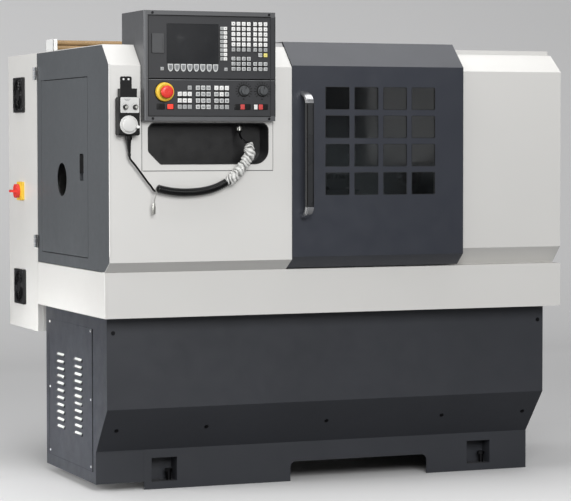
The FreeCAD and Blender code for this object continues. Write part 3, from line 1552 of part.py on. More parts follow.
def tool_post():
    """Four-way indexing post that holds four turning tools."""
    cx = (carriage_x0 + carriage_x1) / 2
    half = post_side / 2
    body = prism("z", post_low, post_low + post_height,
                 rounded(cx - half, cx + half, post_y - half, post_y + half, 6.0))
    slot_low = post_low + 26
    slots = []
    tools = []
    screws = []
    for k in range(4):
        slot = block(cx - half - 1, cx + half + 1, post_y + half - 24, post_y + half + 1,
                     slot_low, slot_low + 28)
        tool = block(cx - half + 20, cx + half + 26, post_y + half - 24, post_y + half - 4,
                     slot_low, slot_low + 20)
        tip = prism("z", slot_low + 14, slot_low + 20,
                    [(cx + half + 30, post_y + half - 20), (cx + half + 30, post_y + half + 4),
                     (cx + half + 10, post_y + half - 4)])
        shapes = [slot, tool, tip]
        for shape in shapes:
            shape.rotate(V(cx, post_y, 0), V(0, 0, 1), 90 * k)
        slots.append(slot)
        tools += [tool, tip]
        for step in (-28, 0, 28):
            screw = hexagon(V(cx + step, post_y + half - 13, post_low + post_height),
                            V(0, 0, 1), 6.0, 12.0)
            screw.rotate(V(cx, post_y, 0), V(0, 0, 1), 90 * k)
            screws.append(screw)
    hole = rod("z", post_low - 1, post_low + post_height + 1, cx, post_y, 14 + fit_gap)
    return cut(fuse([cut(body, slots)] + tools + screws), [hole])


# ---------------------------------------------------------------- tailstock
tailstock_x0 = bed_x1 - tailstock_end_gap - tailstock_length


def tailstock():
    """Cast tailstock on the bed's ways, bored for its quill."""
    x0, x1 = tailstock_x0, tailstock_x0 + tailstock_length
    y0, y1 = spindle_y - bed_half_width + 6, spindle_y + bed_half_width - 6
    base = block(x0, x1, y0, y1, bed_top + rest_gap, bed_top + 60)
    neck = [(spindle_y - 90, bed_top + 60), (spindle_y + 90, bed_top + 60),
            (spindle_y + 56, spindle_z - 30), (spindle_y - 56, spindle_z - 30)]
    column = prism("x", x0 + 10, x1 - 10, neck)
    barrel = rod("x", x0 - 14, x1 + 14, spindle_y, spindle_z, 56)
    cap = rod("x", x1 + 14, x1 + 24, spindle_y, spindle_z, 44)
    ways = [prism("x", x0 - 1, x1 + 1, s) for s in way_section(rest_gap)]
    bore = rod("x", x0 - 20, x1 + 8, spindle_y, spindle_z, quill_radius + fit_gap)
    return cut(fuse([base, column, barrel, cap]), ways + [bore])


def tailstock_quill():
    """Quill with its live centre."""
    x_nose = tailstock_x0 - quill_reach
    x_end = tailstock_x0 + tailstock_length - 10
    profile = [(x_nose - 34, 0.0), (x_nose - 14, 11.5), (x_nose - 14, 19.0),
               (x_nose, 19.0), (x_nose, quill_radius), (x_end, quill_radius), (x_end, 0.0)]
    return turned(profile, spindle_y, spindle_z)


def ball_screw():
    """Lengthwise ball screw with its end journals."""
    j = screw_radius - 4
    profile = [(screw_x0, 0.0), (screw_x0, j), (screw_x0 + screw_block + 1, j),
               (screw_x0 + screw_block + 1, screw_radius),
               (screw_x1 - screw_block - 1, screw_radius), (screw_x1 - screw_block - 1, j),
               (screw_x1 + 28, j), (screw_x1 + 28, 0.0)]
    return turned(profile, screw_y, screw_z)


# ---------------------------------------------------------------- build every piece
save("base_cabinet", base_cabinet())
save("levelling_bolts", levelling_bolts())
save("louver_cover", louver_cover())
save("cover_screws", cover_screws())
save("chip_tray", chip_tray())
save("coolant_tank", coolant_tank())
save("left_cover", left_cover())
save("service_panel", service_panel())
save("storage_tub", storage_tub())
save("side_panel", side_panel())
save("side_door", side_door())
save("side_latch", side_latch())
save("right_cover", right_cover())
save("rear_cover", rear_cover())
save("door_frame", door_frame())
save("sliding_door", sliding_door())
save("door_glass", door_glass())
save("door_handle", door_handle())
save("electrical_cabinet", electrical_cabinet())
save("cabinet_door", cabinet_door())
save("fan_guards", fan_guards())
save("fan_rotor_upper", fan_rotor(fan_high_z))
save("fan_rotor_lower", fan_rotor(fan_low_z))
save("switch_plate", switch_plate())
save("switch_handle", switch_handle())
save("drive_units", drive_units())
save("brake_resistor", brake_resistor())
save("control_box", control_box())
save("control_faces", control_faces())
save("screen", screen())
save("keypad", keypad())
save("port_cover", port_cover())
save("estop_collar", estop_collar())
save("estop_button", estop_button())
save("speed_dial", override_dial(dial_centres[0]))
save("feed_dial", override_dial(dial_centres[1]))
save("pendant_holder", pendant_holder())
save("pendant_body", pendant_body())
save("axis_selector", selector(*pendant_knobs[0]))
save("step_selector", selector(*pendant_knobs[1]))
save("pendant_dial", pendant_dial())
save("cable_gland", cable_gland())
save("pendant_cable", cord_tube(cable_route, cable_diameter, thin_sides, "pendant cable"))
save("pendant_coil", cord_tube(coil_route, coil_diameter, thick_sides, "pendant coil"))
save("film_wrap", cord_tube(film_route, film_diameter, thick_sides, "film-wrapped coil"))
save("cable_plug", cable_plug())
save("earth_lead", earth_lead())
save("bed", bed())
save("headstock", headstock())
save("spindle", spindle())
save("chuck", chuck())
save("drive_motors", drive_motors())
save("motor_pulley", motor_pulley())
save("drive_belt", drive_belt())
save("carriage", carriage())
save("cross_slide", cross_slide())
save("tool_post", tool_post())
save("tailstock", tailstock())
save("tailstock_quill", tailstock_quill())
save("ball_screw", ball_screw())
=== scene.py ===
# %% [markdown]
# # A flat-bed turning lathe in its enclosure
#
# The solids of the lathe come from the frame: covers, door, base, slides.  This lesson
# gives them their paints and adds what only the eye needs: keys, dial marks, screws,
# a wound cord and its packing film.  Lengths are in millimetres and become metres by
# one factor, MM, so that the numbers read like the ones on a drawing.

# %% Frame
import bmesh
import bpy
import math
import random
from mathutils import Matrix, Vector, noise


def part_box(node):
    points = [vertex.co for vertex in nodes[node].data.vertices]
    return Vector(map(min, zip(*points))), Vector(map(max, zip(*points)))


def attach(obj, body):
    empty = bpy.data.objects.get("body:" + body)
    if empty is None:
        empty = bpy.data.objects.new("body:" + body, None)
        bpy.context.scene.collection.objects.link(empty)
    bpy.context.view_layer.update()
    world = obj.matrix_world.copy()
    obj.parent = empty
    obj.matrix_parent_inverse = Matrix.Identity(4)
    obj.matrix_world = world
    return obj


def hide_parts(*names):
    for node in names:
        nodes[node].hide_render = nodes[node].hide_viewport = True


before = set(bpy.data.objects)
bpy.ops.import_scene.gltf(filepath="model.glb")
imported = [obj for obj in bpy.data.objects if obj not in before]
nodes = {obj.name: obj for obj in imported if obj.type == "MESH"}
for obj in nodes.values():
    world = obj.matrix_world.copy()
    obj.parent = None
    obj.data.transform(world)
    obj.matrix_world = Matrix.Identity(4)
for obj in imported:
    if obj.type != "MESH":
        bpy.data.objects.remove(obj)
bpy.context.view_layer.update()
scene = bpy.context.scene
MM = 0.001

# %% [markdown]
# ## Places on the machine
#
# Everything on the covers is placed from the chip tray's left end and from the faces
# that carry it.  The faces of the control box are read from the frame.  The rest are
# the drawing's own numbers, and the first ones stand here.

# %% Datum faces
LEFT_END = -851.0      # x of the tray's and the left cover's left end
COVER_FACE = -545.0    # y of the left cover's face
TRAY_FACE = -492.0     # y of the tray's front face
DOOR_FACE = -548.0     # y of the sliding door's face
UP, DOWN = Vector((0, 0, 1)), Vector((0, 0, -1))
OUTWARD = Vector((0, -1, 0))


def along(distance):
    """x in metres of a place, from the chip tray's left end in millimetres."""
    return (LEFT_END + distance) * MM


box_low, box_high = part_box("control_box")
face_low, face_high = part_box("control_faces")
PANEL_LEFT, PANEL_FOOT = box_low[0], box_low[2]
PANEL_Y = face_low[1]
print("panel face at y = %.4f m" % PANEL_Y)


def on_panel(across, up, proud=0.0):
    """A point on the control panel, from the control box's lower left corner (mm)."""
    return Vector((PANEL_LEFT + across * MM, PANEL_Y - proud * MM, PANEL_FOOT + up * MM))


# %% [markdown]
# ## Camera
#
# The camera stands to the left of the machine, a little above the middle of its height,
# and looks slightly down.  A long lens keeps the upright edges nearly parallel, so the
# view is set by a real distance and a real focal length and needs no shift.

# %% Camera
CAMERA_PLACE = (-3.0990, -7.6194, 1.1466)
CAMERA_TURN = 0.3831
CAMERA_TILT = -0.0454
CAMERA_ROLL = -0.0011
LENS = 146.87

camera_data = bpy.data.cameras.new("view")
camera_data.sensor_width = 36.0
camera_data.sensor_fit = "HORIZONTAL"
camera_data.lens = LENS
camera_data.clip_end = 100.0
camera = bpy.data.objects.new("view", camera_data)
camera.matrix_world = (Matrix.Translation(CAMERA_PLACE)
                       @ Matrix.Rotation(-CAMERA_TURN, 4, "Z")
                       @ Matrix.Rotation(math.pi / 2 + CAMERA_TILT, 4, "X")
                       @ Matrix.Rotation(CAMERA_ROLL, 4, "Z"))
scene.collection.objects.link(camera)
scene.camera = camera
print("lens %.1f mm at %.2f m" % (LENS, Vector(CAMERA_PLACE).length))

# %% [markdown]
# ## Shader helpers
#
# A material is a small network.  One helper adds a node and sets or joins its inputs,
# one starts a shader group and one places a group in a material, so the recipes below
# read as lists of what a finish is made of.


# %% Node helpers
def add(tree, kind, inputs=None, **settings):
    """Add a node; inputs are numbers, colours or output sockets by input name."""
    node = tree.nodes.new(kind)
    for key, value in settings.items():
        setattr(node, key, value)
    for key, value in (inputs or {}).items():
        if isinstance(value, bpy.types.NodeSocket):
            tree.links.new(value, node.inputs[key])
        else:
            node.inputs[key].default_value = value
    return node


def new_group(name, inputs, outputs):
    """A shader group with named sockets; returns the tree and its two ends."""
    tree = bpy.data.node_groups.new(name, "ShaderNodeTree")
    for label, kind, value in inputs:
        socket = tree.interface.new_socket(label, in_out="INPUT", socket_type=kind)
        socket.default_value = value
    for label, kind in outputs:
        tree.interface.new_socket(label, in_out="OUTPUT", socket_type=kind)
    return tree, tree.nodes.new("NodeGroupInput"), tree.nodes.new("NodeGroupOutput")


def use_group(tree, group, inputs=None):
    """Place a shader group in a material's tree."""
    return add(tree, "ShaderNodeGroup", inputs, node_tree=group)


def srgb(red, green, blue):
    """A display colour (0 to 255) as the linear colour that a socket holds."""
    def linear(value):
        value /= 255.0
        return value / 12.92 if value <= 0.04045 else ((value + 0.055) / 1.055) ** 2.4
    return (linear(red), linear(green), linear(blue), 1.0)


FLOAT, COLOUR, VECTOR = "NodeSocketFloat", "NodeSocketColor", "NodeSocketVector"

# %% [markdown]
# ## The coat group
#
# Powder coat isn't flat: it has a fine orange peel, slow drifts of tone from sheet to
# sheet, and a thin veil of workshop dust on faces that look up.  All painted sheets
# share this group, each with its own colour, peel size and dust, so they belong to
# one machine.

# %% Coat group
coat, coat_in, coat_out = new_group(
    "coat",
    [("Colour", COLOUR, (0.5, 0.5, 0.5, 1)), ("Peel Size", FLOAT, 900.0),
     ("Drift", FLOAT, 0.06), ("Dust", FLOAT, 0.2), ("Gloss Base", FLOAT, 0.4)],
    [("Colour", COLOUR), ("Roughness", FLOAT), ("Height", FLOAT)])
place = add(coat, "ShaderNodeTexCoord").outputs["Object"]
peel = add(coat, "ShaderNodeTexNoise",
           {"Vector": place, "Scale": coat_in.outputs["Peel Size"], "Detail": 2.0})
sheets = add(coat, "ShaderNodeTexNoise", {"Vector": place, "Scale": 2.3, "Detail": 3.0})
smears = add(coat, "ShaderNodeTexNoise",
             {"Vector": place, "Scale": 17.0, "Detail": 6.0, "Roughness": 0.62})
lighter = add(coat, "ShaderNodeMapRange",
              {"Value": sheets.outputs["Fac"], "From Min": 0.3, "From Max": 0.7,
               "To Min": -1.0, "To Max": 1.0})
swing = add(coat, "ShaderNodeMath", operation="MULTIPLY_ADD")
coat.links.new(lighter.outputs[0], swing.inputs[0])
coat.links.new(coat_in.outputs["Drift"], swing.inputs[1])
swing.inputs[2].default_value = 1.0
toned = add(coat, "ShaderNodeVectorMath", operation="SCALE")
coat.links.new(coat_in.outputs["Colour"], toned.inputs[0])
coat.links.new(swing.outputs[0], toned.inputs["Scale"])
facing = add(coat, "ShaderNodeSeparateXYZ",
             {"Vector": add(coat, "ShaderNodeNewGeometry").outputs["Normal"]})
upward = add(coat, "ShaderNodeMapRange",
             {"Value": facing.outputs["Z"], "From Min": 0.25, "From Max": 1.0})
veil = add(coat, "ShaderNodeMath", {0: upward.outputs[0], 1: smears.outputs["Fac"]},
           operation="MULTIPLY")
dust = add(coat, "ShaderNodeMath", {0: veil.outputs[0], 1: coat_in.outputs["Dust"]},
           operation="MULTIPLY", use_clamp=True)
dusted = add(coat, "ShaderNodeMix", data_type="RGBA")
coat.links.new(dust.outputs[0], dusted.inputs[0])
coat.links.new(toned.outputs[0], dusted.inputs[6])
dusted.inputs[7].default_value = srgb(176, 172, 164)
rub = add(coat, "ShaderNodeMapRange",
          {"Value": smears.outputs["Fac"], "From Min": 0.3, "From Max": 0.7,
           "To Min": -0.05, "To Max": 0.07})
gloss = add(coat, "ShaderNodeMath", {0: rub.outputs[0], 1: coat_in.outputs["Gloss Base"]},
            operation="ADD")
gloss_dust = add(coat, "ShaderNodeMath", {0: dust.outputs[0], 1: gloss.outputs[0]},
                 operation="ADD", use_clamp=True)
coat.links.new(dusted.outputs[2], coat_out.inputs["Colour"])
coat.links.new(gloss_dust.outputs[0], coat_out.inputs["Roughness"])
coat.links.new(peel.outputs["Fac"], coat_out.inputs["Height"])
print("coat group:", len(coat.nodes), "nodes")

# %% [markdown]
# ## The tooling group
#
# Ground and turned steel carries fine parallel marks.  Noise squeezed along one
# direction gives them: the squeeze multiplies the coordinates, and the same group
# serves ground ways, turned shafts and brushed edges with other factors.

# %% Tooling group
tooling, tool_in, tool_out = new_group(
    "tooling",
    [("Colour", COLOUR, (0.5, 0.5, 0.5, 1)), ("Stretch", VECTOR, (4.0, 400.0, 400.0)),
     ("Depth", FLOAT, 0.5), ("Gloss Base", FLOAT, 0.3)],
    [("Colour", COLOUR), ("Roughness", FLOAT), ("Height", FLOAT)])
stretch = add(tooling, "ShaderNodeVectorMath",
              {0: add(tooling, "ShaderNodeTexCoord").outputs["Object"],
               1: tool_in.outputs["Stretch"]}, operation="MULTIPLY")
marks = add(tooling, "ShaderNodeTexNoise",
            {"Vector": stretch.outputs[0], "Scale": 1.0, "Detail": 4.0})
oil = add(tooling, "ShaderNodeTexNoise",
          {"Vector": add(tooling, "ShaderNodeTexCoord").outputs["Object"],
           "Scale": 9.0, "Detail": 4.0})
mark_tone = add(tooling, "ShaderNodeMapRange",
                {"Value": marks.outputs["Fac"], "To Min": 0.86, "To Max": 1.1})
metal_tone = add(tooling, "ShaderNodeVectorMath", operation="SCALE")
tooling.links.new(tool_in.outputs["Colour"], metal_tone.inputs[0])
tooling.links.new(mark_tone.outputs[0], metal_tone.inputs["Scale"])
oil_film = add(tooling, "ShaderNodeMapRange",
               {"Value": oil.outputs["Fac"], "From Min": 0.35, "From Max": 0.65,
                "To Min": -0.06, "To Max": 0.08})
metal_gloss = add(tooling, "ShaderNodeMath",
                  {0: oil_film.outputs[0], 1: tool_in.outputs["Gloss Base"]},
                  operation="ADD", use_clamp=True)
depth = add(tooling, "ShaderNodeMath",
            {0: marks.outputs["Fac"], 1: tool_in.outputs["Depth"]}, operation="MULTIPLY")
tooling.links.new(metal_tone.outputs[0], tool_out.inputs["Colour"])
tooling.links.new(metal_gloss.outputs[0], tool_out.inputs["Roughness"])
tooling.links.new(depth.outputs[0], tool_out.inputs["Height"])
print("tooling group:", len(tooling.nodes), "nodes")

# %% [markdown]
# ## The moulding group
#
# Moulded plastic has a spark-eroded grain: small rounded cells.  A Voronoi texture
# gives the cells, and a slow noise keeps large parts from looking like one flat tone.

# %% Moulding group
moulding, mould_in, mould_out = new_group(
    "moulding",
    [("Colour", COLOUR, (0.5, 0.5, 0.5, 1)), ("Grain", FLOAT, 1400.0),
     ("Gloss Base", FLOAT, 0.45)],
    [("Colour", COLOUR), ("Roughness", FLOAT), ("Height", FLOAT)])
mould_place = add(moulding, "ShaderNodeTexCoord").outputs["Object"]
cells = add(moulding, "ShaderNodeTexVoronoi",
            {"Vector": mould_place, "Scale": mould_in.outputs["Grain"]})
batch = add(moulding, "ShaderNodeTexNoise",
            {"Vector": mould_place, "Scale": 26.0, "Detail": 3.0})
batch_tone = add(moulding, "ShaderNodeMapRange",
                 {"Value": batch.outputs["Fac"], "From Min": 0.3, "From Max": 0.7,
                  "To Min": 0.93, "To Max": 1.07})
plastic_tone = add(moulding, "ShaderNodeVectorMath", operation="SCALE")
moulding.links.new(mould_in.outputs["Colour"], plastic_tone.inputs[0])
moulding.links.new(batch_tone.outputs[0], plastic_tone.inputs["Scale"])
touched = add(moulding, "ShaderNodeMapRange",
              {"Value": batch.outputs["Fac"], "From Min": 0.3, "From Max": 0.7,
               "To Min": -0.06, "To Max": 0.06})
plastic_gloss = add(moulding, "ShaderNodeMath",
                    {0: touched.outputs[0], 1: mould_in.outputs["Gloss Base"]},
                    operation="ADD", use_clamp=True)
moulding.links.new(plastic_tone.outputs[0], mould_out.inputs["Colour"])
moulding.links.new(plastic_gloss.outputs[0], mould_out.inputs["Roughness"])
moulding.links.new(cells.outputs["Distance"], mould_out.inputs["Height"])
print("moulding group:", len(moulding.nodes), "nodes")

# %% [markdown]
# ## Finishes
#
# Each finish is one material: a group for what changes over the surface, a Principled
# shader for how it answers light, and a Bump node that turns the group's height into
# relief.  Numbers that are the same all over, such as IOR or coat, stay on the shader.


# %% Finish builder
def finish(name, group, settings, bump=0.1, distance=0.0004, **shader):
    """A material: the group's colour, roughness and relief on a Principled shader."""
    material = bpy.data.materials.new(name)
    material.use_nodes = True
    tree = material.node_tree
    principled = tree.nodes["Principled BSDF"]
    surface = use_group(tree, group, settings)
    relief = add(tree, "ShaderNodeBump",
                 {"Height": surface.outputs["Height"], "Strength": bump,
                  "Distance": distance})
    tree.links.new(surface.outputs["Colour"], principled.inputs["Base Color"])
    tree.links.new(surface.outputs["Roughness"], principled.inputs["Roughness"])
    tree.links.new(relief.outputs["Normal"], principled.inputs["Normal"])
    for key, value in shader.items():
        principled.inputs[key.replace("_", " ")].default_value = value
    return material


def paint(name, colour, gloss=0.42, peel=900.0, drift=0.03, dust=0.15, bump=0.08, **more):
    return finish(name, coat, {"Colour": colour, "Gloss Base": gloss, "Peel Size": peel,
                               "Drift": drift, "Dust": dust}, bump, **more)


def plastic(name, colour, gloss=0.45, grain=1400.0, bump=0.05, **more):
    return finish(name, moulding, {"Colour": colour, "Gloss Base": gloss, "Grain": grain},
                  bump, 0.0002, **more)


def steel(name, colour, gloss=0.3, stretch=(6.0, 500.0, 500.0), bump=0.15, **more):
    return finish(name, tooling, {"Colour": colour, "Gloss Base": gloss,
                                  "Stretch": stretch}, bump, 0.0002, Metallic=1.0, **more)


# %% Paints
white_coat = paint("white_coat", srgb(212, 211, 208), gloss=0.38, dust=0.06, drift=0.012)
door_coat = paint("door_coat", srgb(50, 53, 61), gloss=0.36, drift=0.05, dust=0.1)
base_coat = paint("base_coat", srgb(54, 56, 61), gloss=0.42, drift=0.08, dust=0.12,
                  bump=0.14)
# The side panel and side door carry the door's dark paint made lighter: painted light, for
# the light that falls on the left side.
side_lit_coat = paint("side_lit_coat", srgb(84, 87, 90), gloss=0.42, drift=0.05, dust=0.1)
box_coat = paint("box_coat", srgb(84, 85, 87), gloss=0.4, drift=0.04, dust=0.12)
iron_coat = paint("iron_coat", srgb(104, 110, 112), gloss=0.5, peel=300.0, drift=0.1,
                  bump=0.3, dust=0.3)
print("materials so far:", len(bpy.data.materials))

# %% Plastics and rubber
black_plastic = plastic("black_plastic", srgb(9, 9, 10), gloss=0.46,
                        Specular_IOR_Level=0.25)
panel_plastic = plastic("panel_plastic", srgb(43, 44, 47), gloss=0.5, grain=2200.0)
port_plastic = plastic("port_plastic", srgb(66, 67, 69), gloss=0.45, grain=2200.0)
tub_plastic = plastic("tub_plastic", srgb(19, 19, 20), gloss=0.4, grain=900.0)
knob_plastic = plastic("knob_plastic", srgb(78, 80, 82), gloss=0.4)
# edge_highlight_grey is a paler grey for the control box's edges: a painted highlight
# where the edges catch the light.
edge_highlight_grey = plastic("edge_highlight_grey", srgb(108, 110, 112), gloss=0.35)
light_key = plastic("light_key", srgb(228, 228, 226), gloss=0.5)
dull_key = plastic("dull_key", srgb(160, 162, 162), gloss=0.5)
yellow_plastic = plastic("yellow_plastic", srgb(238, 196, 62), gloss=0.36)
red_plastic = plastic("red_plastic", srgb(224, 58, 48), gloss=0.3)
white_plastic = plastic("white_plastic", srgb(236, 236, 234), gloss=0.3)
plate_white = plastic("plate_white", srgb(206, 206, 204), gloss=0.4)
cord_black = plastic("cord_black", srgb(12, 12, 13), gloss=0.2, grain=700.0, bump=0.02)
belt_black = plastic("belt_black", srgb(30, 30, 30), gloss=0.6, grain=500.0)
ceramic_tan = plastic("ceramic_tan", srgb(150, 122, 84), gloss=0.55, grain=900.0)
screen_dark = plastic("screen_dark", srgb(40, 41, 43), gloss=0.16, grain=40.0, bump=0.0)
print("materials so far:", len(bpy.data.materials))

# %% Metals
turned_steel = steel("turned_steel", srgb(186, 186, 184))
ground_steel = steel("ground_steel", srgb(168, 168, 166), gloss=0.34,
                     stretch=(500.0, 6.0, 500.0))
zinc_plate = steel("zinc_plate", srgb(196, 196, 190), gloss=0.32,
                   stretch=(120.0, 120.0, 120.0))
black_bolt = steel("black_bolt", srgb(46, 46, 48), gloss=0.42,
                   stretch=(200.0, 200.0, 200.0))
print("materials so far:", len(bpy.data.materials))

# %% [markdown]
# ## Sight glass
#
# The door's panes are clear laminated glass.  In the photo they look nearly black with
# a grey sheen, because it is dark behind them and the studio mirrors in them.  A thin,
# slightly grey Principled glass gives both.  Cycles treats a thick slab of glass as a
# lens, and shadow rays stop at it, so the material lets shadow rays pass.

# %% Glass
sight_glass = bpy.data.materials.new("sight_glass")
sight_glass.use_nodes = True
glass_tree = sight_glass.node_tree
pane = glass_tree.nodes["Principled BSDF"]
pane.inputs["Base Color"].default_value = srgb(150, 156, 160)
pane.inputs["Transmission Weight"].default_value = 1.0
pane.inputs["IOR"].default_value = 1.45
wipes = add(glass_tree, "ShaderNodeTexNoise",
            {"Vector": add(glass_tree, "ShaderNodeTexCoord").outputs["Object"],
             "Scale": 6.0, "Detail": 5.0})
smear = add(glass_tree, "ShaderNodeMapRange",
            {"Value": wipes.outputs["Fac"], "From Min": 0.35, "From Max": 0.75,
             "To Min": 0.02, "To Max": 0.16})
glass_tree.links.new(smear.outputs[0], pane.inputs["Roughness"])
see_through = add(glass_tree, "ShaderNodeBsdfTransparent",
                  {"Color": srgb(186, 190, 192)})
passing = add(glass_tree, "ShaderNodeMixShader",
              {0: add(glass_tree, "ShaderNodeLightPath").outputs["Is Shadow Ray"],
               1: pane.outputs[0], 2: see_through.outputs[0]})
glass_tree.links.new(passing.outputs[0],
                     glass_tree.nodes["Material Output"].inputs["Surface"])
print("glass:", len(glass_tree.nodes), "nodes")

# %% [markdown]
# ## Dressing the solids
#
# A node of the frame keeps its mesh and only changes its material.  The table below
# reads like a paint list for the workshop: finish first, then what gets it.  A node that
# a later cell replaces with a richer shape isn't on the list.


# %% Paint list
def dress(material, *names):
    """Give the frame's nodes one finish."""
    for name in names:
        mesh = nodes[name].data
        mesh.materials.clear()
        mesh.materials.append(material)


dress(white_coat, "chip_tray", "left_cover", "service_panel", "right_cover",
      "rear_cover", "door_frame", "electrical_cabinet", "cabinet_door")
dress(base_coat, "base_cabinet", "louver_cover", "coolant_tank")
dress(door_coat, "sliding_door")
dress(side_lit_coat, "side_panel", "side_door")
dress(box_coat, "control_box")
dress(iron_coat, "bed", "headstock", "carriage", "tailstock")
dress(panel_plastic, "control_faces")
dress(port_plastic, "port_cover")
dress(tub_plastic, "storage_tub")
dress(knob_plastic, "speed_dial", "feed_dial")
dress(black_plastic, "side_latch", "pendant_holder", "pendant_body", "axis_selector",
      "step_selector", "drive_motors", "drive_units")
dress(yellow_plastic, "switch_plate")
dress(red_plastic, "switch_handle")
dress(screen_dark, "screen")
dress(sight_glass, "door_glass")
dress(black_bolt, "levelling_bolts")
dress(turned_steel, "spindle", "chuck", "motor_pulley", "tailstock_quill", "ball_screw")
dress(ground_steel, "cross_slide", "tool_post")
dress(belt_black, "drive_belt")
print("dressed:", sum(len(node.data.materials) > 0 for node in nodes.values()))

# %% [markdown]
# ## The pendant's cord
#
# From the gland to the plug there is one wire: a short lead, a close-wound coil, a
# stretch of coil that is still in its packing film, and a thin tail.  It could be three
# separate tubes, but then the wire would start and stop in mid air.  Here the route is
# one smooth curve, and the wire either follows it or winds around it: a radius that
# grows and shrinks along the way makes the coil.

# %% Route of the cord
WIRE = 7.0 * MM
COIL_RADIUS = 10.2 * MM
COIL_PITCH = 7.3 * MM
CORD_Y = -563.0


def route_point(distance, up, lead=0.0):
    """A point of the cord's route: along the tray, height, and how far it leads out."""
    return Vector((along(distance), (CORD_Y - lead) * MM, up * MM))


plug_foot = Vector((-399.5, -519.0, 1184.7)) * MM
gland_top = Vector((-793.5, -565.5, 1176.0)) * MM
gland_end = Vector((-789.5, -563.0, 1114.0)) * MM
gland_run = (gland_end - gland_top).normalized()
lead_route = [gland_end, gland_end + gland_run * 11 * MM, route_point(73, 1091),
              route_point(86, 1075), route_point(99, 1058), route_point(113, 1039.5),
              route_point(129.5, 1017.8)]
coil_route = [route_point(140, 1012.3), route_point(160, 1005.5), route_point(196, 997.5),
              route_point(236, 993.5), route_point(278, 994), route_point(318, 998.5),
              route_point(356, 1008.5, 2), route_point(388, 1025, 4)]
film_route = [route_point(408, 1036, 5.375), route_point(426, 1054.5, 5),
              route_point(448, 1081, 4.5), route_point(466, 1107, 4),
              route_point(474, 1129), route_point(468, 1147, -8)]
tail_route = [route_point(456, 1161, -17), route_point(451, 1170, -28),
              route_point(451, 1176.5, -37.5), plug_foot]
print("route points:", len(lead_route + coil_route + film_route + tail_route))


# %% Smooth curve through a route
def smooth_path(name, route, detail=24):
    """The points of a NURBS curve whose control points are the route's."""
    curve = bpy.data.curves.new(name, "CURVE")
    curve.dimensions = "3D"
    curve.resolution_u = detail
    spline = curve.splines.new("NURBS")
    spline.points.add(len(route) - 1)
    for point, place in zip(spline.points, route):
        point.co = (*place, 1.0)
    spline.order_u = 3
    spline.use_endpoint_u = True
    holder = bpy.data.objects.new(name, curve)
    scene.collection.objects.link(holder)
    sampled = bpy.data.meshes.new_from_object(holder)
    points = [vertex.co.copy() for vertex in sampled.vertices]
    bpy.data.objects.remove(holder)
    bpy.data.meshes.remove(sampled)
    return points


def path_length(points):
    """Length along a row of points."""
    return sum((b - a).length for a, b in zip(points, points[1:]))


def resample(points, step):
    """Points at an even step along a path, with the frame that travels with it."""
    total = path_length(points)
    count = max(2, int(total / step))
    marks, walked, index = [], 0.0, 0
    for k in range(count + 1):
        target = total * k / count
        while index < len(points) - 2:
            length = (points[index + 1] - points[index]).length
            if walked + length >= target:
                break
            walked += length
            index += 1
        length = (points[index + 1] - points[index]).length
        share = min(1.0, (target - walked) / length) if length else 0.0
        marks.append(points[index].lerp(points[index + 1], share))
    frames, side = [], Vector((0, 1, 0))
    for k, mark in enumerate(marks):
        ahead = marks[min(k + 1, count)] - marks[max(k - 1, 0)]
        ahead.normalize()
        side = (side - ahead * side.dot(ahead)).normalized()
        frames.append((mark, ahead, side, ahead.cross(side)))
    return frames, total


# %% Mesh makers
def new_piece(name, verts, faces, material):
    """An object of the given vertices and faces, smooth shaded, at the origin."""
    mesh = bpy.data.meshes.new(name)
    mesh.from_pydata([tuple(v) for v in verts], [], faces)
    mesh.update()
    mesh.polygons.foreach_set("use_smooth", [True] * len(mesh.polygons))
    mesh.materials.append(material)
    piece = bpy.data.objects.new(name, mesh)
    scene.collection.objects.link(piece)
    return piece


def tube(name, points, radius, material, sides=10):
    """A tube with closed ends along a row of points."""
    frames = []
    side = Vector((0, 1, 0))
    last = len(points) - 1
    for k, mark in enumerate(points):
        ahead = (points[min(k + 1, last)] - points[max(k - 1, 0)]).normalized()
        if abs(side.dot(ahead)) > 0.99:
            side = ahead.orthogonal()
        side = (side - ahead * side.dot(ahead)).normalized()
        frames.append((mark, side, ahead.cross(side)))
    verts, faces = [], []
    for mark, side, up in frames:
        for j in range(sides):
            angle = 2 * math.pi * j / sides
            verts.append(mark + side * (radius * math.cos(angle))
                         + up * (radius * math.sin(angle)))
    for k in range(last):
        for j in range(sides):
            a, b = k * sides + j, k * sides + (j + 1) % sides
            faces.append((a, b, b + sides, a + sides))
    faces.append(tuple(range(sides - 1, -1, -1)))
    faces.append(tuple(last * sides + j for j in range(sides)))
    return new_piece(name, verts, faces, material)


# %% [markdown]
# ## Winding the wire
#
# The lead leans out from the coil's axis to the coil's radius, then turns into the
# winding in a bend of its own, as a real cord does, so nothing kinks.  At the far end
# the same happens the other way round.  The stretch under the film is simply the same
# winding, continued.

# %% Winding
centre_line = smooth_path("cord_route", lead_route + coil_route + film_route + tail_route)
lead_length = path_length(smooth_path("lead_part", lead_route + coil_route[:1]))
frames, route_length = resample(centre_line, 0.25 * MM)
LEAN_IN, LEAN_OUT = 21 * MM, 18 * MM    # how long the wire takes to reach its radius
TURN_IN = 7 * MM                        # and to reach its full rate of turning
lean_from, lean_to = lead_length - 11 * MM, route_length - 44 * MM
FULL_RATE = 2 * math.pi / COIL_PITCH
STEEP = 1e9                             # stands for an upright slope


def eased(share):
    """A share from 0 to 1 that starts and stops gently."""
    share = min(1.0, max(0.0, share))
    return share * share * (3 - 2 * share)


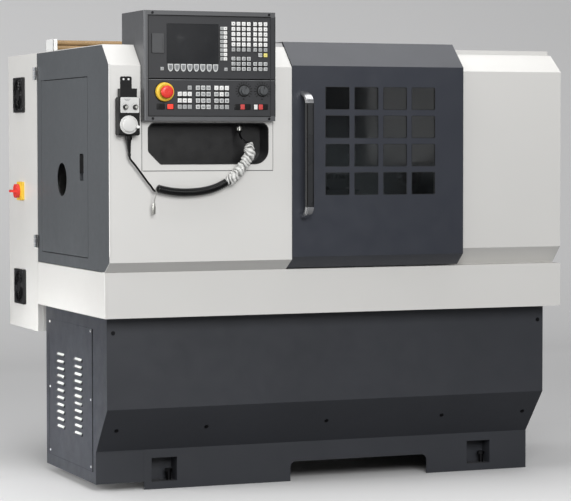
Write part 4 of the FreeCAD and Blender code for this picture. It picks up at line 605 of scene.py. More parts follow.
wire_points, phase = [], -math.pi / 2
step = route_length / (len(frames) - 1)
for k, (mark, ahead, side, up) in enumerate(frames):
    walked = k * step
    lean = eased((walked - lean_from) / LEAN_IN) * eased((lean_to - walked) / LEAN_OUT)
    inside = min(walked - lean_from - LEAN_IN, lean_to - LEAN_OUT - walked) / TURN_IN
    if inside > 0:
        slope = STEEP
        if inside < 1:
            slope = inside / math.sqrt(max(1e-6, 1 - inside * inside))
        phase += step * min(FULL_RATE, slope / COIL_RADIUS)
    swing = side * math.cos(phase) + up * math.sin(phase)
    wire_points.append(mark + swing * (COIL_RADIUS * lean))
cord_piece = tube("pendant_wire", wire_points, WIRE / 2, cord_black, sides=8)

# %% [markdown]
# ## Packing film
#
# The last stretch of the coil still has its film on: thin, milky, wound at a slant and
# crumpled.  The form is a sleeve around the route whose radius swells in a slanting
# wave, with crumples from a noise.  A cloth simulation would do it too, but film this
# short is held by its own tape and shows the wave and the crumples only.

# %% Film finish
film_glass = bpy.data.materials.new("packing_film")
film_glass.use_nodes = True
film_tree = film_glass.node_tree
film_shader = film_tree.nodes["Principled BSDF"]
film_place = add(film_tree, "ShaderNodeTexCoord").outputs["Object"]
crumple = add(film_tree, "ShaderNodeTexNoise",
              {"Vector": film_place, "Scale": 90.0, "Detail": 4.0, "Distortion": 1.2})
fold = add(film_tree, "ShaderNodeAttribute", attribute_name="fold")
layers = add(film_tree, "ShaderNodeMath",
             {0: fold.outputs["Fac"], 1: crumple.outputs["Fac"]}, operation="ADD")
milky = add(film_tree, "ShaderNodeMapRange",
            {"Value": layers.outputs[0], "From Min": 0.42, "From Max": 0.95,
             "To Min": 0.28, "To Max": 0.97})
film_relief = add(film_tree, "ShaderNodeBump",
                  {"Height": layers.outputs[0], "Strength": 0.8, "Distance": 0.002})
film_shader.inputs["Base Color"].default_value = srgb(218, 218, 215)
film_shader.inputs["Roughness"].default_value = 0.3
film_tree.links.new(milky.outputs[0], film_shader.inputs["Alpha"])
film_tree.links.new(film_relief.outputs["Normal"], film_shader.inputs["Normal"])
print("film:", len(film_tree.nodes), "nodes")

# %% Film sleeve
film_frames, film_length = resample(
    smooth_path("film_part", coil_route[-1:] + film_route), 1.0 * MM)
film_verts, film_faces, film_folds = [], [], []
RIM = 48                                # points round the sleeve
SLANT_PITCH, WRAP_PITCH = 34 * MM, 13 * MM
for k, (mark, ahead, side, up) in enumerate(film_frames):
    share = k / (len(film_frames) - 1)
    ends = min(1.0, share / 0.12, (1 - share) / 0.1)
    for j in range(RIM):
        angle = 2 * math.pi * j / RIM
        around = side * math.cos(angle) + up * math.sin(angle)
        spot = mark + around * 0.016
        crease = noise.noise(spot * 110) * 1.9 + noise.noise(spot * 260) * 0.9
        slant = math.sin(angle + share * film_length / SLANT_PITCH * 2 * math.pi)
        wrap = math.sin(angle * 2 + share * film_length / WRAP_PITCH * 2 * math.pi
                        + 4.5 * noise.noise(spot * 45))
        size = 17.2 + 1.6 * slant + 1.0 * wrap + 0.9 * crease + 4.0 * (ends - 1)
        film_verts.append(mark + around * (size * MM))
        film_folds.append(0.28 + 0.32 * wrap + 0.16 * slant)
for k in range(len(film_frames) - 1):
    for j in range(RIM):
        a, b = k * RIM + j, k * RIM + (j + 1) % RIM
        film_faces.append((a, b, b + RIM, a + RIM))
film_piece = new_piece("packing_film", film_verts, film_faces, film_glass)
folds = film_piece.data.attributes.new("fold", "FLOAT", "POINT")
folds.data.foreach_set("value", film_folds)
print("film %.0f mm long" % (film_length / MM))


# %% [markdown]
# ## Turned pieces
#
# Plugs, glands and ferrules are turned or moulded round, so one helper revolves a
# profile about any axis.  The profile is a list of (distance, radius) pairs, read like
# a turning drawing from one end to the other.

# %% Lathe helper
def lathe(name, profile, start, axis, material, sides=40):
    """A turned piece: (distance, radius) pairs in mm from start along the axis."""
    axis = axis.normalized()
    side = axis.orthogonal().normalized()
    up = axis.cross(side)
    verts, faces = [], []
    for distance, radius in profile:
        for j in range(sides):
            angle = 2 * math.pi * j / sides
            verts.append(start + axis * (distance * MM)
                         + (side * math.cos(angle) + up * math.sin(angle)) * (radius * MM))
    for k in range(len(profile) - 1):
        for j in range(sides):
            a, b = k * sides + j, k * sides + (j + 1) % sides
            faces.append((a, b, b + sides, a + sides))
    faces.append(tuple(range(sides - 1, -1, -1)))
    faces.append(tuple((len(profile) - 1) * sides + j for j in range(sides)))
    piece = new_piece(name, verts, faces, material)
    piece.data.set_sharp_from_angle(angle=0.6)
    return piece


# %% Gland and plug
gland_profile = [(0.0, 10.5), (1.0, 11.4), (13.0, 11.4), (14.0, 10.4), (14.2, 8.4)]
for rib in range(8):
    foot, taper = rib * 5.0, 8.2 - rib * 0.46
    gland_profile += [(16.0 + foot, taper), (18.6 + foot, taper - 0.1),
                      (19.0 + foot, taper - 0.9), (20.4 + foot, taper - 1.0)]
gland_profile += [(58.0, 5.0), (66.0, 4.6), (66.4, 4.0)]
gland_piece = lathe("cable_boot", gland_profile, gland_top, gland_run, black_plastic)
PLUG_SIDES, ZINC_BANDS = 40, (2, 3, 4)  # the plug's union nut is zinc
plug_piece = lathe("cord_plug", [(0.0, 5.0), (0.6, 6.4), (8.0, 8.6), (8.4, 10.2),
                                 (20.0, 10.2), (20.6, 8.8), (29.9, 8.8)],
                   plug_foot, UP, black_plastic, sides=PLUG_SIDES)
plug_piece.data.materials.append(zinc_plate)
for polygon in plug_piece.data.polygons:
    if polygon.index // PLUG_SIDES in ZINC_BANDS:
        polygon.material_index = 1
print("gland ribs 8, plug faces", len(plug_piece.data.polygons))

# %% Earth wire and ferrule
earth_route = [route_point(144, 1006, 14.2), route_point(147, 995, 15),
               route_point(145, 983, 13), route_point(142, 971, 8),
               route_point(141, 960, 6)]
earth_points = smooth_path("earth_route", earth_route)
earth_white = plastic("earth_white", srgb(150, 150, 146), gloss=0.4, grain=900.0)
earth_piece = tube("earth_wire", earth_points, 1.5 * MM, earth_white, sides=12)
ferrule_piece = lathe("earth_ferrule", [(0.0, 2.4), (0.8, 4.2), (7.0, 4.6), (7.6, 3.6),
                                        (9.4, 3.6), (10.0, 5.2), (34.0, 5.2), (35.6, 4.4)],
                      earth_points[-1] + UP * 0.8 * MM, DOWN, zinc_plate)
print("earth wire %.0f mm" % (path_length(earth_points) / MM))

# %% [markdown]
# ## Attaching the cords
#
# A cord is soft on the real machine, and a mesh doesn't say so.  Here each of its pieces
# is only hung on the machine's body, and the frame's own cord nodes are hidden.

# %% Cords attached
for piece in (cord_piece, film_piece, gland_piece, plug_piece, earth_piece,
              ferrule_piece):
    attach(piece, "machine")
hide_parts("pendant_cable", "pendant_coil")
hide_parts("film_wrap")
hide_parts("cable_plug")
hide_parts("cable_gland")
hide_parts("earth_lead")
print("cords: %d and %d points" % (len(wire_points), len(earth_points)))

# %% [markdown]
# ## Stamping
#
# Keys, dial marks, screws and gaskets are one shape set down in many places.  Geometry
# Nodes does that: a small group takes points, sets an instance of a template on each,
# turns and scales it by the point's own values, and makes the result real.  Afterwards
# each set is an ordinary mesh.

# %% Stamp group
stamp_tree = bpy.data.node_groups.new("stamp", "GeometryNodeTree")
stamp_sockets = {}
for label, kind in (("Points", "NodeSocketGeometry"), ("Template", "NodeSocketObject"),
                    ("Finish", "NodeSocketMaterial")):
    stamp_sockets[label] = stamp_tree.interface.new_socket(
        label, in_out="INPUT", socket_type=kind)
stamp_tree.interface.new_socket("Stamped", in_out="OUTPUT",
                                socket_type="NodeSocketGeometry")
gin = stamp_tree.nodes.new("NodeGroupInput")
gout = stamp_tree.nodes.new("NodeGroupOutput")
info = add(stamp_tree, "GeometryNodeObjectInfo", {"Object": gin.outputs["Template"]})
turn = add(stamp_tree, "GeometryNodeInputNamedAttribute", {"Name": "turn"},
           data_type="FLOAT_VECTOR")
size = add(stamp_tree, "GeometryNodeInputNamedAttribute", {"Name": "size"},
           data_type="FLOAT_VECTOR")
setter = add(stamp_tree, "GeometryNodeInstanceOnPoints",
             {"Points": gin.outputs["Points"], "Instance": info.outputs["Geometry"],
              "Rotation": turn.outputs["Attribute"], "Scale": size.outputs["Attribute"]})
real = add(stamp_tree, "GeometryNodeRealizeInstances",
           {"Geometry": setter.outputs["Instances"]})
finished = add(stamp_tree, "GeometryNodeSetMaterial",
               {"Geometry": real.outputs["Geometry"], "Material": gin.outputs["Finish"]})
stamp_tree.links.new(finished.outputs["Geometry"], gout.inputs[0])
print("stamp group:", len(stamp_tree.nodes), "nodes")


# %% Stamp helper
def stamp(name, template, places, material, body="machine"):
    """Set the template on each (point, turn, size) and return one plain mesh."""
    mesh = bpy.data.meshes.new(name)
    mesh.from_pydata([tuple(p) for p, _, _ in places], [], [])
    for label, column in (("turn", 1), ("size", 2)):
        values = mesh.attributes.new(label, "FLOAT_VECTOR", "POINT")
        values.data.foreach_set("vector", [c for row in places for c in row[column]])
    piece = bpy.data.objects.new(name, mesh)
    scene.collection.objects.link(piece)
    modifier = piece.modifiers.new("stamp", "NODES")
    modifier.node_group = stamp_tree
    modifier[stamp_sockets["Template"].identifier] = template
    modifier[stamp_sockets["Finish"].identifier] = material
    bpy.context.view_layer.update()
    graph = bpy.context.evaluated_depsgraph_get()
    made = bpy.data.meshes.new_from_object(piece.evaluated_get(graph))
    piece.modifiers.remove(modifier)
    piece.data = made
    if not made.materials:
        made.materials.append(material)
    bpy.data.meshes.remove(mesh)
    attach(piece, body)
    return piece


def cushion(name, width, depth, height, bevel):
    """A template block about the origin, its front edges rounded (depth along -Y)."""
    bm = bmesh.new()
    bmesh.ops.create_cube(bm, size=1.0)
    bmesh.ops.scale(bm, vec=(width * MM, depth * MM, height * MM), verts=bm.verts)
    bmesh.ops.translate(bm, vec=(0, -depth / 2 * MM, 0), verts=bm.verts)
    front = [e for e in bm.edges if all(v.co.y < -depth * 0.6 * MM for v in e.verts)]
    sides = [e for e in bm.edges
             if abs(e.verts[0].co.y - e.verts[1].co.y) > depth * 0.9 * MM]
    bmesh.ops.bevel(bm, geom=front + sides, offset=bevel * MM, segments=3,
                    affect="EDGES", profile=0.6)
    mesh = bpy.data.meshes.new(name)
    bm.to_mesh(mesh)
    bm.free()
    mesh.polygons.foreach_set("use_smooth", [True] * len(mesh.polygons))
    mesh.set_sharp_from_angle(angle=0.8)
    return bpy.data.objects.new(name, mesh)


UNTURNED, FULL = (0.0, 0.0, 0.0), (1.0, 1.0, 1.0)

# %% [markdown]
# ## Keys of the control panel
#
# Each key is a cushion: a block with its front edges rounded over.  The rows and columns
# are the panel's layout in millimetres, so a key moves when its column does.  White,
# grey and dull keys are three sets, because a set has one plastic.  Dark beds lie
# between and around them, as the membrane does on the real panel.

# %% Key template
KEY = 12.5                              # width and height of the template key
KEY_DEPTH = 2.5
key_block = cushion("key_block", KEY, KEY_DEPTH, KEY, 1.1)
COLUMNS = (305, 322.5, 340.5, 358, 380, 398, 416)
PAD = ((121, 138, 155), (183, 201, 219), (246, 264, 282))


def key(across, up, width=KEY, height=KEY):
    """A key's place on the panel and its size against the template."""
    return (on_panel(across, up), UNTURNED, (width / KEY, 1.0, height / KEY))


# %% Key rows
white_keys = [key(x, z) for z in (313, 296.5, 280, 263.5, 246.5) for x in COLUMNS]
white_keys += [key(x, z, 14, 14) for z in (65, 86) for x in PAD[0]]
white_keys += [key(x, 106, 14, 14) for x in PAD[2]] + [key(264, 86, 14, 14)]
white_keys += [key(277.5, 297 - 13.9 * k, 11.5, 11) for k in range(8)]
grey_keys = [key(x, z, 12.5, 11.5) for z in (184.5, 168) for x in COLUMNS]
grey_keys += [key(x, 201, 12.5, 11.5) for x in COLUMNS[:4]] + [key(398, 213)]
grey_keys += [key(x, z, 14, 14) for z in (45, 65, 86, 106) for x in PAD[1]]
grey_keys += [key(x, z, 14, 14) for x, z in ((246, 86), (282, 86), (246, 65), (264, 65),
                                             (282, 65))]
dull_keys = [key(x, 230) for x in COLUMNS] + [key(155, 106, 14, 14)]
dull_keys += [key(x, 45, 14, 14) for x in PAD[0] + PAD[2]]
dull_keys += [key(265.6, 297 - 13.9 * k, 12, 11) for k in range(8)]
dull_keys += [key(x, 166, 11, 11) for x in (62, 279)]

# %% Key stamps
mid_key = plastic("mid_key", srgb(202, 204, 203), gloss=0.5)
yellow_key = plastic("yellow_key", srgb(228, 216, 122), gloss=0.45)
keys = stamp("keys_white", key_block, white_keys, light_key)
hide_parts("keypad")
stamp("keys_grey", key_block, grey_keys, mid_key)
stamp("keys_dull", key_block, dull_keys, dull_key)
stamp("key_reset", key_block, [key(416, 213)], yellow_key)
BEDS = ((138, 65.5, 51, 57), (155, 106, 17, 17), (201, 75.5, 53, 77), (264, 75.5, 53, 77),
        (331.7, 271.5, 68.5, 98), (398, 271.5, 51.5, 98), (331.7, 184.5, 68.5, 47),
        (398, 176.2, 51.5, 30), (407, 213, 34, 15.5), (271.4, 248.4, 29, 111))
strip_black = plastic("strip_black", srgb(12, 12, 13), gloss=0.4, Specular_IOR_Level=0.3)
stamp("key_beds", key_block,
      [(on_panel(x, z), UNTURNED, (w / KEY, 0.12, h / KEY)) for x, z, w, h in BEDS],
      strip_black)
print("keys:", len(white_keys) + len(grey_keys) + len(dull_keys) + 1)

# %% [markdown]
# ## Legends
#
# At this size a printed legend reads as one or two short strokes.  Type from a font
# would cost thousands of faces for the same picture; strokes of a few lengths, chosen
# with a fixed seed, keep the pattern of a keyboard.

# %% Legend strokes
stroke_block = cushion("stroke_block", 1.0, 0.12, 1.0, 0.02)
ink_dark = plastic("ink_dark", srgb(52, 54, 58), gloss=0.5)
ink_light = plastic("ink_light", srgb(226, 227, 226), gloss=0.5)
random.seed(11)


def strokes(centre, reach):
    """Two or three strokes about a key's centre, inside a square of half-width reach."""
    shapes = [[(0, 0, 2.6, 2.6)],
              [(0, 1.4, 4.4, 1.1), (0, -1.4, 3.0, 1.1)],
              [(-1.6, 0, 1.1, 4.2), (1.2, 0.9, 2.4, 1.1)],
              [(0, 0, 4.6, 1.2), (0, 0, 1.2, 4.6)],
              [(-1.5, -1.2, 2.2, 1.2), (1.3, 1.0, 1.8, 1.8)]]
    made = []
    for x, z, width, height in random.choice(shapes):
        spot = centre + Vector((x, 0, z)) * (reach / 4.0 * MM)
        made.append((spot, UNTURNED, (width * reach / 4, 1.0, height * reach / 4)))
    return made


def tops(rows):
    """Centres of the keys' front faces."""
    return [place + OUTWARD * (KEY_DEPTH * MM) for place, _, _ in rows]


# %% Legend stamps
key_ink = [row for spot in tops(white_keys) for row in strokes(spot, 3.4)]
key_ink += [row for spot in tops([key(416, 213)]) for row in strokes(spot, 3.4)]
grey_fields = [(spot, UNTURNED, (8.0, 1.0, 7.2)) for spot in tops(grey_keys)]
grey_ink = [row for spot in tops(grey_keys)
            for row in strokes(spot + OUTWARD * (0.12 * MM), 2.8)]
dull_ink = [row for spot in tops(dull_keys) for row in strokes(spot, 3.4)]
ink_mid = plastic("ink_mid", srgb(128, 130, 132), gloss=0.5)
stamp("legend_dark", stroke_block, key_ink + dull_ink, ink_dark)
stamp("legend_field", stroke_block, grey_fields, ink_mid)
stamp("legend_light", stroke_block, grey_ink, ink_light)
print("strokes:", len(key_ink) + len(dull_ink) + len(grey_ink))


# %% [markdown]
# ## Softkeys
#
# The softkeys under the screen are shields: flat on top and round below, with a grey
# field in a pale rim.  A prism of the shield's outline does for the rim and, smaller,
# for the field.

# %% Prism template
def plate(name, outline, depth, bevel=0.0):
    """A template: an outline in mm (x, z) with its thickness along -Y."""
    bm = bmesh.new()
    back = [bm.verts.new((x * MM, 0, z * MM)) for x, z in outline]
    front = [bm.verts.new((x * MM, -depth * MM, z * MM)) for x, z in outline]
    face = bm.faces.new(front)
    bm.faces.new(list(reversed(back)))
    for k in range(len(outline)):
        j = (k + 1) % len(outline)
        bm.faces.new((back[k], back[j], front[j], front[k]))
    bmesh.ops.recalc_face_normals(bm, faces=bm.faces)
    if bevel:
        bmesh.ops.bevel(bm, geom=list(face.edges), offset=bevel * MM, segments=2,
                        affect="EDGES")
    mesh = bpy.data.meshes.new(name)
    bm.to_mesh(mesh)
    bm.free()
    mesh.polygons.foreach_set("use_smooth", [True] * len(mesh.polygons))
    mesh.set_sharp_from_angle(angle=0.7)
    return bpy.data.objects.new(name, mesh)


def disc_outline(radius, count=32):
    """Points of a circle, for plate()."""
    return [(radius * math.cos(2 * math.pi * k / count),
             radius * math.sin(2 * math.pi * k / count)) for k in range(count)]


# %% Softkeys
shield = [(-9, 12), (-9, 2)] + [(-9 * math.cos(a), 2 - 14 * math.sin(a))
                                for a in [math.pi * k / 12 for k in range(1, 12)]]
shield += [(9, 2), (9, 12)]
shield_plate = plate("shield_plate", shield, KEY_DEPTH, 0.7)
field_plate = plate("field_plate", shield, 0.15)
softkeys = [on_panel(90 + 21.9 * k, 169.5) for k in range(8)]
stamp("softkeys", shield_plate, [(p, UNTURNED, (0.95, 1, 1)) for p in softkeys], mid_key)
stamp("softkey_fields", field_plate,
      [(p + Vector((0, -2.5, 0.6)) * MM, UNTURNED, (0.66, 1, 0.7)) for p in softkeys],
      ink_mid)
stamp("softkey_ink", stroke_block,
      [row for p in softkeys for row in strokes(p + Vector((0, -2.65, 1.5)) * MM, 3.0)],
      ink_dark)
print("softkeys:", len(softkeys))

# %% [markdown]
# ## Push buttons
#
# The lower strip carries four dark housings.  A lit red button, two dim red ones and a
# white one are cushions again; the round one is a prism of a circle.

# %% Push buttons in the lower strip
STRIP_ROW = 45.5                        # the row's height on the panel
lamp_red = plastic("lamp_red", srgb(236, 70, 58), gloss=0.25, Emission_Strength=0.35,
                   Emission_Color=srgb(255, 60, 40))
lamp_dim = plastic("lamp_dim", srgb(196, 72, 70), gloss=0.3)
housings = [key(x, STRIP_ROW, width, 19)
            for x, width in ((57, 27), (89, 24), (336, 56), (398, 52))]
stamp("button_housings", key_block, [(p, t, (s[0], 0.6, s[2])) for p, t, s in housings],
      strip_black)


def button(across, width, depth, height):
    """A button's place, standing 1.5 mm proud of the strip."""
    return (on_panel(across, STRIP_ROW, 1.5), UNTURNED, (width, depth, height))


stamp("button_lit", key_block, [button(89, 1.55, 0.6, 1.25)], lamp_red)
stamp("buttons_red", key_block, [button(x, 1.15, 0.5, 1.3) for x in (336, 399)],
      lamp_dim)
stamp("button_white", key_block, [button(381.5, 0.95, 0.5, 1.25)], light_key)
stamp("button_black", plate("button_round", disc_outline(6.5), 2.0, 0.6),
      [button(57, 1, 0.5, 1)], black_plastic)
print("housings:", len(housings))

# %% [markdown]
# ## Dials
#
# The knobs themselves are the frame's.  Each sits on a dark disc, its skirt with painted
# shade round it, with a scale of fifteen ticks round it and one pointer on its face; the
# pointer rides on the knob's body, so it turns with the knob.

# %% Scales around the dials
DIALS = (("speed_knob", 341, 98), ("feed_knob", 405, 98))
# Each dark disc is the knob's skirt together with painted shade round it.
dial_disc = plate("dial_disc", disc_outline(20.5, 40), 0.25)
stamp("dial_beds", dial_disc, [(on_panel(x, z), UNTURNED, FULL) for _, x, z in DIALS],
      strip_black)
ticks = []
TICK_REACH = 25.6                       # from the knob's axis to a tick's middle
for body, across, up in DIALS:
    for k in range(15):
        angle = math.radians(-133 + 19 * k)
        spot = on_panel(across + TICK_REACH * math.sin(angle),
                        up + TICK_REACH * math.cos(angle))
        ticks.append((spot, (0, angle, 0), (2.4, 1.0, 7.0)))
    ticks.append((on_panel(across - 1, up - 27), UNTURNED, (5.0, 1.0, 4.0)))
    stamp(body + "_pointer", stroke_block,
          [(on_panel(across, up + 9, 20.0), UNTURNED, (2.0, 2.0, 9.0))], strip_black,
          body=body)
stamp("dial_scales", stroke_block, ticks, strip_black)
print("ticks:", len(ticks))


# %% Knob helper
def knob(name, radius, height, back, material, body, node, flutes=24):
    """A fluted knob about the node's own axis, its front face dished."""
    low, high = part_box(node)
    centre = Vector(((low[0] + high[0]) / 2, back, (low[2] + high[2]) / 2))
    profile = [(0.0, 1.0), (0.3, 1.0), (0.78, 0.9), (0.93, 0.86), (1.0, 0.78),
               (0.985, 0.3)]
    sides = flutes * 6
    verts, faces = [], []
    for share, size in profile:
        for j in range(sides):
            angle = 2 * math.pi * j / sides
            dent = 0.045 * max(0.0, math.cos(flutes * angle)) if share < 0.95 else 0.0
            reach = radius * size * (1 - dent) * MM
            verts.append(centre + Vector((reach * math.cos(angle), -share * height * MM,
                                          reach * math.sin(angle))))
    for k in range(len(profile) - 1):
        for j in range(sides):
            a, b = k * sides + j, k * sides + (j + 1) % sides
            faces.append((b, a, a + sides, b + sides))
    faces.append(tuple(range(sides)))
    faces.append(tuple((len(profile) - 1) * sides + j for j in range(sides - 1, -1, -1)))
    piece = new_piece(name, verts, faces, material)
    piece.data.set_sharp_from_angle(angle=0.5)
    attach(piece, body)
    return piece


# %% [markdown]
# ## Seams and rims
#
# A gap between two sheets shows as a dark line, because light can't get out of it.  The
# solids have their gaps, but most are too thin to be seen in a picture of this size.
# Thin dark bars along them draw the line, and thin grey ones are painted highlights on the
# edges that catch the light.  The windows get black rims like rubber gaskets, which one
# template and a stamp make; their black is also painted shade along the openings' inner
# edges.

# %% Rim helper
def ring_outline(width, height, radius, count=6):
    """Points of a rectangle with rounded corners, for plate() and rim()."""
    points = []
    for cx, cz, start in ((1, 1, 0), (-1, 1, 90), (-1, -1, 180), (1, -1, 270)):
        for k in range(count + 1):
            angle = math.radians(start + 90 * k / count)
            points.append((cx * (width / 2 - radius) + radius * math.cos(angle),
                           cz * (height / 2 - radius) + radius * math.sin(angle)))
    return points


def rim(name, width, height, radius, thick, depth):
    """A template: a closed band between two rounded rectangles."""
    outer = ring_outline(width, height, radius)
    inner = ring_outline(width - 2 * thick, height - 2 * thick, max(0.5, radius - thick))
    count = len(outer)
    verts, faces = [], []
    for loop, y in ((outer, 0), (outer, -depth), (inner, -depth), (inner, 0)):
        verts += [(x * MM, y * MM, z * MM) for x, z in loop]
    for band in range(4):
        for k in range(count):
            j = (k + 1) % count
            a, b = band * count, (band + 1) % 4 * count
            faces.append((a + k, a + j, b + j, b + k))
    mesh = bpy.data.meshes.new(name)
    mesh.from_pydata(verts, [], faces)
    mesh.update()
    return bpy.data.objects.new(name, mesh)


# %% Window gaskets, their black partly painted shade
door_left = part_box("sliding_door")[0][0]
WINDOW_WIDTH, WINDOW_HEIGHT = 87.0, 75.0
FIRST_ACROSS, FIRST_UP = 117, 980       # corner of the first window
PITCH_ACROSS, PITCH_UP = 104.3, 94
WINDOWS = [(door_left + (FIRST_ACROSS + WINDOW_WIDTH / 2 + PITCH_ACROSS * i) * MM,
            (FIRST_UP + WINDOW_HEIGHT / 2 + PITCH_UP * k) * MM)
           for i in range(4) for k in range(4)]
gasket = rim("gasket", WINDOW_WIDTH, WINDOW_HEIGHT, 6.0, 1.6, 2.2)
gasket_shade_black = plastic("gasket_shade_black", srgb(16, 16, 17), gloss=0.6, grain=900.0)
# The gaskets' black rims also stand in for the shade along the openings' inner edges:
# painted shade.
stamp("window_gaskets", gasket,
      [((x, (DOOR_FACE + 2) * MM, z), UNTURNED, FULL) for x, z in WINDOWS], gasket_shade_black,
      body="door")
print("gaskets:", len(WINDOWS))


# %% Sheet strips
def strip(name, low, high, material, body="machine", bevel=0.0):
    """A thin bar between two corners in millimetres, with an optional bevel."""
    low, high = Vector(low) * MM, Vector(high) * MM
    bm = bmesh.new()
    bmesh.ops.create_cube(bm, size=1.0)
    bmesh.ops.scale(bm, vec=high - low, verts=bm.verts)
    bmesh.ops.translate(bm, vec=(low + high) / 2, verts=bm.verts)
    if bevel:
        bmesh.ops.bevel(bm, geom=list(bm.edges), offset=bevel * MM, segments=2,
                        affect="EDGES")
    mesh = bpy.data.meshes.new(name)
    bm.to_mesh(mesh)
    bm.free()
    mesh.materials.append(material)
    piece = bpy.data.objects.new(name, mesh)
    scene.collection.objects.link(piece)
    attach(piece, body)
    return piece


# %% Gaps around the service panel
seam_grey = plastic("seam_grey", srgb(66, 67, 68), gloss=0.6)
SEAM_FRONT, SEAM_BACK = COVER_FACE - 0.3, COVER_FACE + 0.6
for label, low, high in (
        ("left", (-743.0, SEAM_FRONT, 1062), (-741.2, SEAM_BACK, 1223)),
        ("foot", (-738, SEAM_FRONT, 1061.6), (-292, SEAM_BACK, 1063.8)),
        ("right", (-292.8, SEAM_FRONT, 1064), (-292, SEAM_BACK, 1223))):
    strip("panel_seam_" + label, low, high, seam_grey)
print("seams at y from %.1f to %.1f mm" % (SEAM_FRONT, SEAM_BACK))

# %% Gaps around the control face
face_left, face_right = face_low[0] / MM, face_high[0] / MM
face_foot, face_top = face_low[2] / MM, face_high[2] / MM
BOX_RIGHT = box_high[0] / MM
GAP_OUT, GAP_IN = 2.8, 0.2              # a gap's far and near side, from the face
GAP_FRONT, GAP_BACK = -575.8, -575.2
gap_foot, gap_top = face_foot - GAP_OUT, face_top + GAP_OUT
for label, low, high in (
        ("left", (face_left - GAP_OUT, GAP_FRONT, gap_foot),
         (face_left - GAP_IN, GAP_BACK, gap_top)),
        ("right", (BOX_RIGHT - 2.6, -576.1, gap_foot),
         (BOX_RIGHT - 0.4, GAP_BACK, gap_top)),
        ("foot", (face_left, GAP_FRONT, gap_foot),
         (face_right, GAP_BACK, face_foot - GAP_IN)),
        ("top", (face_left, GAP_FRONT, face_top + GAP_IN),
         (face_right, GAP_BACK, gap_top))):
    strip("face_gap_" + label, low, high, strip_black)
print("control face %.0f x %.0f mm" % (face_right - face_left, face_top - face_foot))

# %% Edges of the control face, with painted highlights
edge_left, edge_right = face_right - 0.4, BOX_RIGHT - 2.4
# The grey strips along the box's left edge and under the face's groove are painted
# highlights.
strip("box_edge", (-742.5, -575.9, 1225), (-738.5, -575.2, 1572), edge_highlight_grey, bevel=0.3)
strip("face_light", (face_left + 1, -572.8, 1353.0), (face_right - 1, -571.5, 1355.2),
      edge_highlight_grey, bevel=0.3)
strip("face_edge", (edge_left, GAP_FRONT, face_foot), (edge_right, GAP_BACK, face_top),
      panel_plastic)
strip("face_groove", (edge_left, -576.1, 1355), (edge_right, -575.7, 1359),
      strip_black)
strip("face_edge_light", (edge_left, -576.1, 1353), (edge_right, -575.7, 1355),
      edge_highlight_grey)

# %% Gaps around the port flap
port_low, port_high = ([v / MM for v in corner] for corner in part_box("port_cover"))
port_left, port_right = port_low[0], port_high[0]
port_foot, port_top = port_low[2], port_high[2]
PORT_GAP = 1.6
for label, left, right, foot, top in (
        ("left", port_left - PORT_GAP, port_left, port_foot, port_top),
        ("right", port_right, port_right + PORT_GAP, port_foot, port_top),
        ("foot", port_left, port_right, port_foot - PORT_GAP, port_foot)):
    strip("port_gap_" + label, (left, -572.9, foot), (right, -572, top), strip_black)
print("port flap %.0f x %.0f mm" % (port_right - port_left, port_top - port_foot))

# %% [markdown]
# ## Louvers
#
# Each louver is pressed out of the plate: a long low hood, closed above and open below.
# Its crown catches the light and looks almost white, so the hoods are painted pale: a
# painted highlight.  One hood is a prism with rounded ends, stamped along two columns and
# leaned to the press's angle.

# %% Louver hoods
# The hoods' pale paint is a painted highlight on their crowns.
hood_highlight_coat = paint("hood_highlight_coat", srgb(205, 206, 203))
hood_form = plate("hood_form", ring_outline(72, 7.6, 3.6), 2.6, 1.4)
HOOD_FOOT, HOOD_PITCH, HOOD_ROWS = 177.5, 24.9, 11
HOOD_LEAN = (math.radians(-28.3), 0, -math.pi / 2)
hoods = [(Vector((-827.2, y, HOOD_FOOT + HOOD_PITCH * row)) * MM, HOOD_LEAN, FULL)
         for y in (-119, 88) for row in range(HOOD_ROWS)]
stamp("louver_hoods", hood_form, hoods, hood_highlight_coat)
print("hoods:", len(hoods))

# %% Louver plate's seams
for label, low, high in (("front", (-824.6, -264.6, 66), (-822.2, -263, 540)),
                         ("back", (-824.6, 243, 66), (-822.2, 244.6, 540)),
                         ("foot", (-824.6, -264.6, 64.4), (-822.2, 244.6, 66))):
    strip("louver_seam_" + label, low, high, strip_black)
print("louver plate's seams: 3")

# %% [markdown]
# ## Rounded folds
#
# A folded sheet has a round corner, which catches more light than either face beside
# it.  The solids' corners are sharp, so a thin rod stands in each fold and rounds it.

# %% Rounded folds
FOLD = 2.7                              # radius of the fold
for label, y, low, high in (("cover", COVER_FACE, 790.0, 1404.0),
                            ("tray", TRAY_FACE, 589.0, 735.0)):
    rod = lathe("fold_" + label, [(0, 2.2), (0.5, FOLD), (high - low - 0.5, FOLD),
                                  (high - low, 2.2)],
                Vector((LEFT_END + 1.9, y + 1.9, low)) * MM, UP, white_coat, sides=32)
    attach(rod, "machine")
    print("fold_%s: %.0f mm" % (label, high - low))

# %% [markdown]
# ## Pendant
#
# The pendant is a black moulded box with a white enamelled plate, two selectors and a
# big white wheel.  The plate is a prism with rounded corners; the wheel's scale is the
# same stamp as the dials', with finer ticks.

